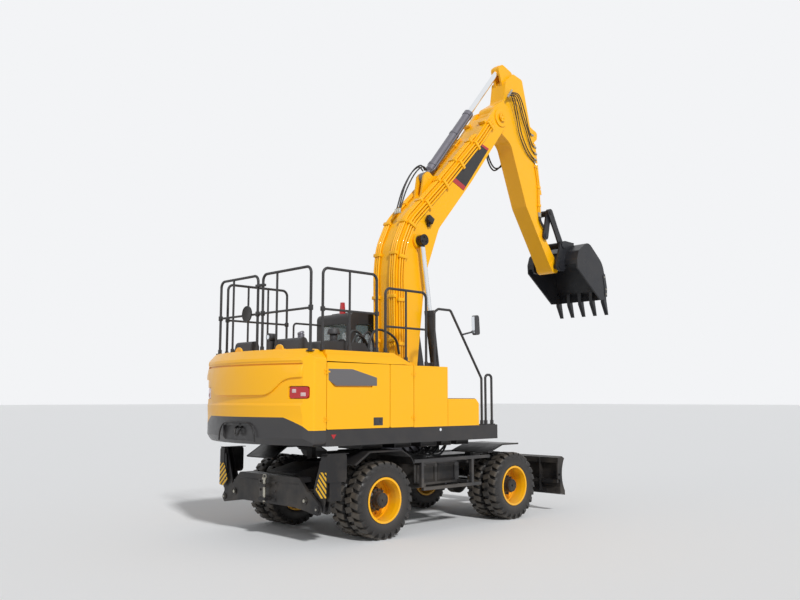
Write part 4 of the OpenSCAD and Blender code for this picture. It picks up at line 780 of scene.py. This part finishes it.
ARM_CYLINDER = ((815, 5660), (2840, 8140))
fitted(bands("arm_barrel_bands", *ARM_CYLINDER, BOOM_Y, (300, 1180, 1760), 82), "arm_barrel", gunmetal)
foot_eye, rod_eye = (Vector(eye) for eye in ARM_CYLINDER)
way = (rod_eye - foot_eye).normalized()
line = [(foot_eye + way * far, y) for far, y in ((150, -60), (200, -112), (1800, -112), (1850, -60))]
fitted(hose("arm_barrel_pipe", [(spot.x, BOOM_Y + y, spot.y) for spot, y in line], 13, False),
       "arm_barrel", gunmetal)
gland = foot_eye + way * 1830
angles = [math.tau * i / 8 for i in range(8)]
fitted(bolts("arm_gland_bolts", [(gland.x - 66 * math.cos(a) * way.y, BOOM_Y + 66 * math.sin(a),
                                  gland.y + 66 * math.cos(a) * way.x) for a in angles], (way.x, 0, way.y), 9, 12),
       "arm_barrel", zinc)

# ---- arm ----

ARM_FRONT = [(3700, 6760), (3790, 6400), (3868, 6080), (3868, 5700), (3880, 5480)]
for i in range(2):
    for name, out, y, first in (("arm_pipe_%d" % (i + 1), -34 - 42 * i, -184, 1),
                                ("arm_front_pipe_%d" % (i + 1), 18, -60 - 60 * i, 0),
                                ("arm_front_pipe_%d" % (i + 3), 18, 60 + 60 * i, 0)):
        line = [(x + out, BOOM_Y + y, z) for x, z in ARM_FRONT[first:]]
        fitted(hose(name, line, 15, False, 0.12), "arm_body", yellow)
arm_clamps = []
for x, z, turn in ((3790, 6400, 14), (3868, 6000, 2), (3868, 5640, -2)):
    for x0, x1, y0, y1 in ((-95, -10, -206, -168), (-6, 40, -150, -30), (-6, 40, 30, 150)):
        arm_clamps.append(part("arm_clamp", (x + x0, x + x1), (BOOM_Y + y0, BOOM_Y + y1), (z - 26, z + 26),
                               (0, math.radians(turn), 0)))
fitted(tidy(joined("arm_clamps", arm_clamps)), "arm_body", yellow)
spots = [(line[-1], Vector(line[-2]) - Vector(line[-1])) for line in ARM_HOSES]
for x, z, way in ((3756, 6400, (0.26, 0, 1)), (3846, 5480, (0.1, 0, -1))):
    spots += [((x - 42 * i, BOOM_Y - 184, z), way) for i in range(2)]
fitted(ferrules("arm_fittings", spots, 19), "arm_body", zinc)
spots = [((2795 + 42 * i, -349, 7545 + 55 * i), (0.6, 0, 0.8)) for i in range(3)]
fitted(ferrules("boom_end_fittings", spots, 20), "boom_body", zinc)
for i in range(2):
    fitted(hose("bucket_hose_%d" % (i + 1), [
        (3846 - 42 * i, BOOM_Y - 184, 5440), (3860 - 42 * i, BOOM_Y - 196, 5330),
        (3930 - 36 * i, BOOM_Y - 205, 5250 - 20 * i), (4010 - 20 * i, BOOM_Y - 198, 5190 - 30 * i)], 13),
           "arm_body", hose_black)
# Loops of hose under the boom's tip, on the left
for i in range(2):
    y, drop = 186 + 30 * i, 40 * i
    slung(hose("boom_nose_hose_%d" % (i + 1), [
        (2760, y - 70, 7020), (2790, y, 6800), (2870, y + 10, 6500 - drop), (3040, y + 10, 6330 - drop),
        (3220, y - 20, 6400), (3250, y - 90, 6560)], 15), at(2790, y, 6800), at(3220, y, 6400))

# ---- outriggers, beam and blade ----

STRIPE_PLATE = [(1135, 958), (1260, 960), (1260, 640), (1130, 625), (1046, 725)]
for side, word in LEFT_RIGHT:
    outline = [(side * y / 1000, z / 1000) for y, z in STRIPE_PLATE]
    fitted(plate("hazard_plate_" + word, outline, at(-2242, 0, 0).x, at(-2239, 0, 0).x, "x"),
           "leg_" + word, stripes)
    fitted(bolts("hazard_bolts_" + word, [(-2242, side * y, z) for y, z in ((1160, 925), (1235, 925), (1090, 735))],
                 (-1, 0, 0), 8, 7), "leg_" + word, black)
    lip = part("cap_lip", (-2232, -1856), sorted((side * 1150, side * 1263)), (1186, 1196))
    fitted(lip, "leg_" + word, black)
    ring = drum("pivot_ring", at(-2262, side * 1090, 480), at(-2250, side * 1090, 480), 0.046, 28)
    press(ring, lambda c, n: n.x < -0.9, 0.012, 0.004)
    fitted(tidy(ring), "undercarriage", black)
    fitted(bolts("pivot_bolt_" + word, [(-2262, side * 1090, 480)], (-1, 0, 0), 15, 12),
           "undercarriage", zinc)

beam_parts = []
for y in (-830, 830):
    pad = drum("boss", at(-2262, y, 571), at(-2249, y, 571), 0.05, 28)
    press(pad, lambda c, n: n.x < -0.9, 0.016, -0.006)
    beam_parts.append(pad)
for y0, y1 in ((-700, -260), (260, 700)):
    beam_parts.append(part("rib", (-2256, -2249), (y0, y1), (770, 782)))
beam_parts.append(part("plate", (-2254, -2249), (-210, 210), (500, 790)))
fitted(tidy(joined("beam_bosses", beam_parts)), "undercarriage", black)
pin_parts = [drum("pin", at(-2310, 0, 800), at(-2310, 0, 498), 0.022, 20),
             drum("head", at(-2310, 0, 800), at(-2310, 0, 826), 0.036, 20)]
for y in (-830, 830):
    pin_parts.append(drum("lock_pin", at(-2270, y, 571), at(-2249, y, 571), 0.022, 24))
fitted(tidy(joined("tow_pin", pin_parts)), "undercarriage", zinc)
handle = [(-2310, -34, 818), (-2310, -34, 866), (-2310, 34, 866), (-2310, 34, 818)]
fitted(hose("tow_pin_handle", handle, 6, False, 0.03), "undercarriage", zinc)
fitted(bolts("beam_bolts", [(-2254, y, z) for y in (-180, 180) for z in (530, 645, 760)], (-1, 0, 0), 14, 12),
       "undercarriage", black)

blade_parts = []
for y in (-900, -450, 450, 900):
    blade_parts.append(part("blade_rib", (2800, 2884), (y - 10, y + 10), (340, 900)))
blade_parts.append(part("edge_bar", (2872, 2884), (-1270, 1270), (300, 420)))
fitted(tidy(joined("blade_ribs", blade_parts)), "blade", black)
fitted(bolts("edge_bolts", [(2872, y, 360) for y in range(-1200, 1201, 200)], (-1, 0, 0), 13, 10), "blade", black)

# ---- bucket ----

CUTTER = [(5395, 3960), (5475, 3960), (5478, 4160), (5420, 4420), (5340, 4380), (5390, 4160)]
cutters = [side_plate("side_cutter", CUTTER, BOOM_Y + y - 9, BOOM_Y + y + 9) for y in (-600, 600)]
fitted(tidy(joined("side_cutters", cutters)), "bucket_body", bucket_black)
for side, word in RIGHT_LEFT:
    y = BOOM_Y + side * 610
    fitted(bolts("cutter_bolts_" + word, [(5438, y, 4010), (5438, y, 4110), (5390, y, 4350)], (0, side, 0), 15, 9),
           "bucket_body", zinc)
for side, word in RIGHT_LEFT:
    fitted(pin_cap("rocker_cap_" + word, 3978, 5067, 192, side, 58), "arm_body", bucket_black)

# ---- under the deck ----

# Hoses that hang in loops under the deck, each a little deeper and further out than the one before
loops = []
for i in range(9):
    x, y = -240 + 130 * (i % 5), -520 - 38 * i
    loops.append(hose("h", [(x, y * 0.7, 1300), (x + 60, y * 0.9, 1180 - 12 * i), (x + 200, y, 1120 - 8 * i),
                            (x + 420, y * 0.92, 1190), (x + 560, y * 0.7, 1300)], 15))
fitted(tidy(joined("under_deck_hoses", loops), 50), "upper_body", hose_black)
units = []
for x0, x1, y0, y1, z0, z1 in ((-900, -560, -1130, -760, 1218, 1320), (-420, -80, -1180, -900, 1218, 1310),
                               (40, 260, -1160, -980, 1218, 1310), (420, 700, -1120, -840, 1218, 1320),
                               (-1500, -1100, -1100, -600, 1220, 1320), (-1400, -900, 500, 1100, 1218, 1320),
                               (-300, 500, 560, 1120, 1218, 1320)):
    unit = part("unit", (x0, x1), (y0, y1), (z0, z1), edge=0.012)
    units.append(press(unit, lambda c, n: abs(n.y) > 0.9 and abs(n.z) < 0.1, 0.025, -0.012))
fitted(tidy(joined("under_deck_units", units)), "upper_body", black)
BRAKE_LINE = ((-1900, 250), (-600, 250), (-500, 290), (600, 290), (1900, 240))
brake_lines = [hose("l", [(x, y + 22 * i, 1012) for x, y in BRAKE_LINE], 7, False) for i in range(4)]
fitted(tidy(joined("brake_lines", brake_lines), 50), "undercarriage", hose_black)

# ---- behind the cab ----

PUMP_HOSES = [
    [(-1090, -330, 2570), (-1075, -320, 2780), (-980, -300, 2915), (-800, -270, 2890), (-640, -240, 2740),
     (-600, -230, 2560)],
    [(-1070, -390, 2570), (-1040, -380, 2750), (-940, -360, 2850), (-790, -330, 2825), (-660, -300, 2690),
     (-630, -290, 2560)],
    [(-780, -420, 2570), (-730, -420, 2800), (-610, -420, 2945), (-400, -420, 2935), (-190, -420, 2820),
     (-120, -420, 2600)],
    [(-740, -220, 2570), (-700, -210, 2800), (-600, -200, 2930), (-500, -190, 2880), (-450, -190, 2740),
     (-440, -190, 2560)],
    [(-700, -60, 2570), (-670, -40, 2760), (-590, -30, 2850), (-500, 0, 2810), (-450, 40, 2700), (-440, 60, 2560)],
]
for i, line in enumerate(PUMP_HOSES):
    fitted(hose("pump_hose_%d" % (i + 1), line, 19), "upper_body", hose_black)
cleaner = drum("air_cleaner", at(-950, -30, 2690), at(-950, 330, 2690), 0.125, 36)
press(cleaner, lambda c, n: n.y < -0.9, 0.02, -0.012)
stack = drum("stack", at(-950, 180, 2790), at(-950, 180, 2900), 0.06, 28)
bowl = drum("bowl", at(-950, 180, 2900), at(-950, 180, 2985), 0.105, 32, 0.085)
fitted(tidy(soften(joined("air_cleaner", [cleaner, stack, bowl]), 0.006)), "upper_body", plastic)
exhaust = [drum("pipe", at(-1700, 20, 2680), at(-1700, 20, 2860), 0.05, 28),
           drum("flap", at(-1700, 20, 2860), at(-1712, 20, 2885), 0.056, 28, 0.046)]
fitted(tidy(soften(joined("exhaust_stack", exhaust), 0.004)), "hood", gunmetal)
louvres = [part("louvre", (-1980, -1420), (-560 + i * 60, -520 + i * 60), (2688, 2698), edge=0.003) for i in range(14)]
fitted(tidy(joined("hood_louvres", louvres)), "hood", black)
handle = [(-2140, -500, 2548), (-2140, -500, 2590), (-2140, -340, 2590), (-2140, -340, 2548)]
fitted(hose("hood_handle", handle, 9, False, 0.03), "hood", zinc)

# ---- tail ----

# Raised field of the counterweight, arched over the lamps: its outline cut out of a thin ring about the slewing axis
HALF_WAVE = [(520, 1955), (600, 1963), (660, 1983), (700, 2006), (760, 2052), (812, 2098), (860, 2134), (918, 2160),
             (980, 2176), (1080, 2184), (1135, 2184), (1135, 2350)]
WAVE = HALF_WAVE + [(-y, z) for y, z in reversed(HALF_WAVE)]
RING_SECTION = [(2770, 1940), (2770, 2354), (2792, 2354), (2813, 2250), (2822, 1940)]
ring = drawn("ring", [at(-r, 0, z) for r, z in RING_SECTION], True)
bpy.ops.object.convert(target="MESH")
only(ring)
bpy.ops.object.mode_set(mode="EDIT")
bpy.ops.mesh.select_all(action="SELECT")
bpy.ops.mesh.spin(steps=240, angle=math.tau, center=at(0, 0, 0), axis=(0, 0, 1))
bpy.ops.object.mode_set(mode="OBJECT")
tidy(ring)
field = plate("tail_field", [(y / 1000, z / 1000) for y, z in WAVE], at(-2900, 0, 0).x, at(-2300, 0, 0).x, "x")
only(field)
cut = field.modifiers.new("cut", "BOOLEAN")
cut.operation, cut.object = "INTERSECT", ring
bpy.ops.object.modifier_apply(modifier="cut")
bpy.data.objects.remove(ring)
fitted(tidy(soften(field, 0.011, 1)), "upper_body", yellow)
tow_eye = hose("tow_eye", [(-2728, -55, 1535), (-2775, -55, 1500), (-2790, -30, 1430), (-2790, 30, 1430),
                           (-2775, 55, 1500), (-2728, 55, 1535)], 15)
fitted(tow_eye, "upper_body", black)
HALF_ARCH = [(-2786, 434, 1340), (-2792, 400, 1480), (-2796, 300, 1575), (-2801, 100, 1590)]
fitted(hose("arch", HALF_ARCH + [(x, -y, z) for x, y, z in reversed(HALF_ARCH)], 11), "upper_body", black)

LENS_RADIUS = 2776  # of the tail where the lamps sit
for side, word in RIGHT_LEFT:
    lenses = []
    for middle, half, z0, z1 in ((1008, 30, 1984, 2034), (1133, 37, 1940, 1988)):
        turn = math.asin(middle / LENS_RADIUS)
        x = -LENS_RADIUS * math.cos(turn)
        lenses.append(part("lens", (x - 4, x + 10), (side * middle - half, side * middle + half), (z0, z1),
                           (0, 0, -side * turn)))
    fitted(tidy(joined("tail_lens_" + word, lenses)), "upper_body", lamp_pale)
housing = drum("housing", at(-2452, -222, 2755), at(-2380, -222, 2755), 0.052, 32)
eye = drum("glass", at(-2458, -222, 2755), at(-2450, -222, 2755), 0.03, 28)
press(housing, lambda c, n: n.x < -0.9, 0.012, -0.01)
fitted(tidy(housing), "upper_body", black)
fitted(eye, "upper_body", mirror_glass)
disc = drum("tail_mirror", at(-2490, 270, 3110), at(-2470, 270, 3110), 0.115, 40)
press(disc, lambda c, n: n.x < -0.9, 0.014, -0.006)
holder = part("clamp", (-2476, -2432), (246, 294), (3084, 3136))
fitted(tidy(joined("tail_mirror", [disc, holder])), "upper_body", black)
fitted(part("tail_handle", (-2802, -2770), (-90, 90), (1560, 1584)), "upper_body", charcoal)

fitted(side_plate("mirror_plate", [(747, 2918), (739, 3192), (735, 3192), (743, 2918)], -1234, -1174),
       "upper_body", mirror_glass)

# ---- cab ----

GLASS = 5  # thickness of the front panes
for name, (low_x, low_z), (high_x, high_z) in (("windscreen", (1296, 2140), (1108, 3100)),
                                               ("lower_windscreen", (1296, 1760), (1296, 2140))):
    outline = [(low_x, low_z), (high_x, high_z), (high_x + GLASS, high_z), (low_x + GLASS, low_z)]
    fitted(side_plate(name, outline, 480, 1150), "upper_body", glass)
fitted(side_plate("door_pane", [(75, 1895), (1085, 1895), (1085, 2112), (930, 3055), (75, 3055)], 1216, 1222),
       "cab_door_body", glass)
wiper = [hose("arm", [(1318, 760, 2200), (1262, 800, 2480), (1240, 1000, 2620)], 7, False),
         hose("blade", [(1268, 1010, 2400), (1205, 1010, 2780)], 6, False)]
fitted(tidy(joined("wiper", wiper)), "upper_body", black)
pull = part("pull", (80, 230), (1250, 1268), (1780, 1830), edge=0.006)
fitted(press(pull, lambda c, n: n.y > 0.9, 0.010, -0.006), "cab_door_body", plastic)
rail = [(1215, 1252, 1700), (1215, 1268, 1760), (1215, 1268, 2300), (1215, 1252, 2360)]
fitted(hose("cab_grab_rail", rail, 11, False, 0.03), "upper_body", black)
seat = [part("cushion", (30, 480), (600, 1030), (1985, 2075), edge=0.03),
        part("back", (-70, 50), (610, 1020), (2070, 2760), edge=0.04),
        part("headrest", (-60, 30), (700, 930), (2780, 2960), edge=0.04)]
for y in (480, 1085):
    seat.append(part("armrest", (120, 470), (y, y + 66), (2250, 2310), edge=0.02))
fitted(tidy(joined("operator_seat", seat)), "upper_body", cloth)
sticks = []
for y in (510, 1120):
    sticks.append(hose("stick", [(520, y, 2200), (536, y, 2330), (520, y, 2400)], 11))
    sticks.append(part("grip", (492, 552), (y - 24, y + 24), (2390, 2480), edge=0.012))
screen = part("screen", (1010, 1040), (1040, 1150), (2300, 2460), edge=0.006)
press(screen, lambda c, n: n.x < -0.9, 0.008, -0.003)
fitted(tidy(joined("cab_controls", sticks + [screen])), "upper_body", plastic)
roof = part("roof_hatch", (-230, 560), (520, 1110), (3302, 3330), edge=0.012)
fitted(press(roof, lambda c, n: n.z > 0.9, 0.07, -0.012), "upper_body", charcoal)

# ---- chassis ----

LIPS = ((-1490, 1190, -890, 1190), (-890, 1190, -720, 1100), (-1760, 1034, -1490, 1194), (980, 1080, 1340, 1194),
        (1340, 1194, 1745, 1194))
lips = [hose("lip", [(x0, side * 1262, z0), (x1, side * 1262, z1)], 11, False)
        for side in (-1, 1) for x0, z0, x1, z1 in LIPS]
fitted(tidy(joined("guard_lips", lips), 50), "undercarriage", black)
boxes = []
for side in (-1, 1):
    for x in (-330, 110):
        door = part("toolbox_door", (x, x + 400), sorted((side * 999, side * 1008)), (680, 950), edge=0.006)
        boxes.append(press(door, lambda c, n: n.y * side > 0.9, 0.03, -0.006))
    for x in (-430, 70, 570):
        boxes.append(part("brace", (x, x + 20), sorted((side * 1010, side * 1206)), (1003, 1040)))
fitted(tidy(joined("toolbox_doors", boxes)), "undercarriage", black)
# Each joint of the propeller shaft is two yokes, one turned a quarter from the other.
yokes = [part("yoke", (x - 40, x + 40), (-half_y, half_y), (507 - half_z, 507 + half_z), edge=0.01)
         for x in (-560, 1360) for half_y, half_z in ((24, 64), (64, 24))]
fitted(tidy(joined("shaft_joints", yokes)), "undercarriage", gunmetal)
pads = [bolts("pad_bolts", [(x, side * y, 790) for x in (-1260, -1140, 1590, 1710) for y in (290, 370)],
              (0, 0, -1), 15, 14) for side in (-1, 1)]
fitted(joined("axle_bolts", pads), "undercarriage", zinc)
angles = [math.tau * i / 36 for i in range(36)]
fitted(bolts("ring_bolts", [(596 * math.cos(a), 596 * math.sin(a), 1243) for a in angles], (0, 0, 1), 13, 16),
       "undercarriage", black)

# ---- floor, air, lights and camera ----

floor_finish = Finish("studio_floor", rgb(240, 241, 242), 0.85)
clear()
bpy.ops.mesh.primitive_plane_add(size=600, location=(0, 0, -0.002))
floor = bpy.context.object
floor.name = "studio_floor"
floor.data.materials.append(floor_finish.material)

# The air lights the machine softly. What is seen of it, straight on, in a reflection or through glass, is brighter.
world = bpy.data.worlds.new("studio_air")
bpy.context.scene.world = world
world.use_nodes = True
nodes, link = world.node_tree.nodes, world.node_tree.links.new
air, seen = nodes["Background"], nodes.new("ShaderNodeBackground")
for background, colour, strength in ((air, rgb(244, 245, 247), 0.36), (seen, rgb(243, 244, 246), 1.0)):
    background.inputs["Color"].default_value = colour
    background.inputs["Strength"].default_value = strength
ray = nodes.new("ShaderNodeLightPath").outputs
direct, any_seen = nodes.new("ShaderNodeMath"), nodes.new("ShaderNodeMath")
direct.operation = any_seen.operation = "MAXIMUM"
mix = nodes.new("ShaderNodeMixShader")
for start, end in ((ray["Is Camera Ray"], direct.inputs[0]), (ray["Is Glossy Ray"], direct.inputs[1]),
                   (direct.outputs[0], any_seen.inputs[0]), (ray["Is Transmission Ray"], any_seen.inputs[1]),
                   (any_seen.outputs[0], mix.inputs[0]), (air.outputs[0], mix.inputs[1]),
                   (seen.outputs[0], mix.inputs[2]), (mix.outputs[0], nodes["World Output"].inputs["Surface"])):
    link(start, end)


def sun(name, way, strength, spread):
    clear()
    bpy.ops.object.light_add(type="SUN", location=(0, 0, 12))
    lamp = bpy.context.object
    lamp.name = name
    lamp.data.energy, lamp.data.angle = strength, math.radians(spread)
    lamp.rotation_euler = Vector(way).to_track_quat("-Z", "Y").to_euler()


sun("key_light", (0.3, 0.76, -0.57), 2.4, 5)
sun("fill_light", (0.85, -0.1, -0.4), 0.18, 30)

CAMERA_PLACE, CAMERA_WAY = (-10.5245, -9.7288, 1.8973), (0.6920, 0.7120, 0.1189)
clear()
bpy.ops.object.camera_add(location=CAMERA_PLACE)
camera = bpy.context.object
camera.name = "photo_camera"
camera.rotation_euler = Vector(CAMERA_WAY).to_track_quat("-Z", "Y").to_euler()
camera.data.sensor_width, camera.data.lens = 36, 37.414
camera.data.clip_end = 900
bpy.context.scene.camera = camera
bpy.context.scene.view_settings.view_transform = "Standard"
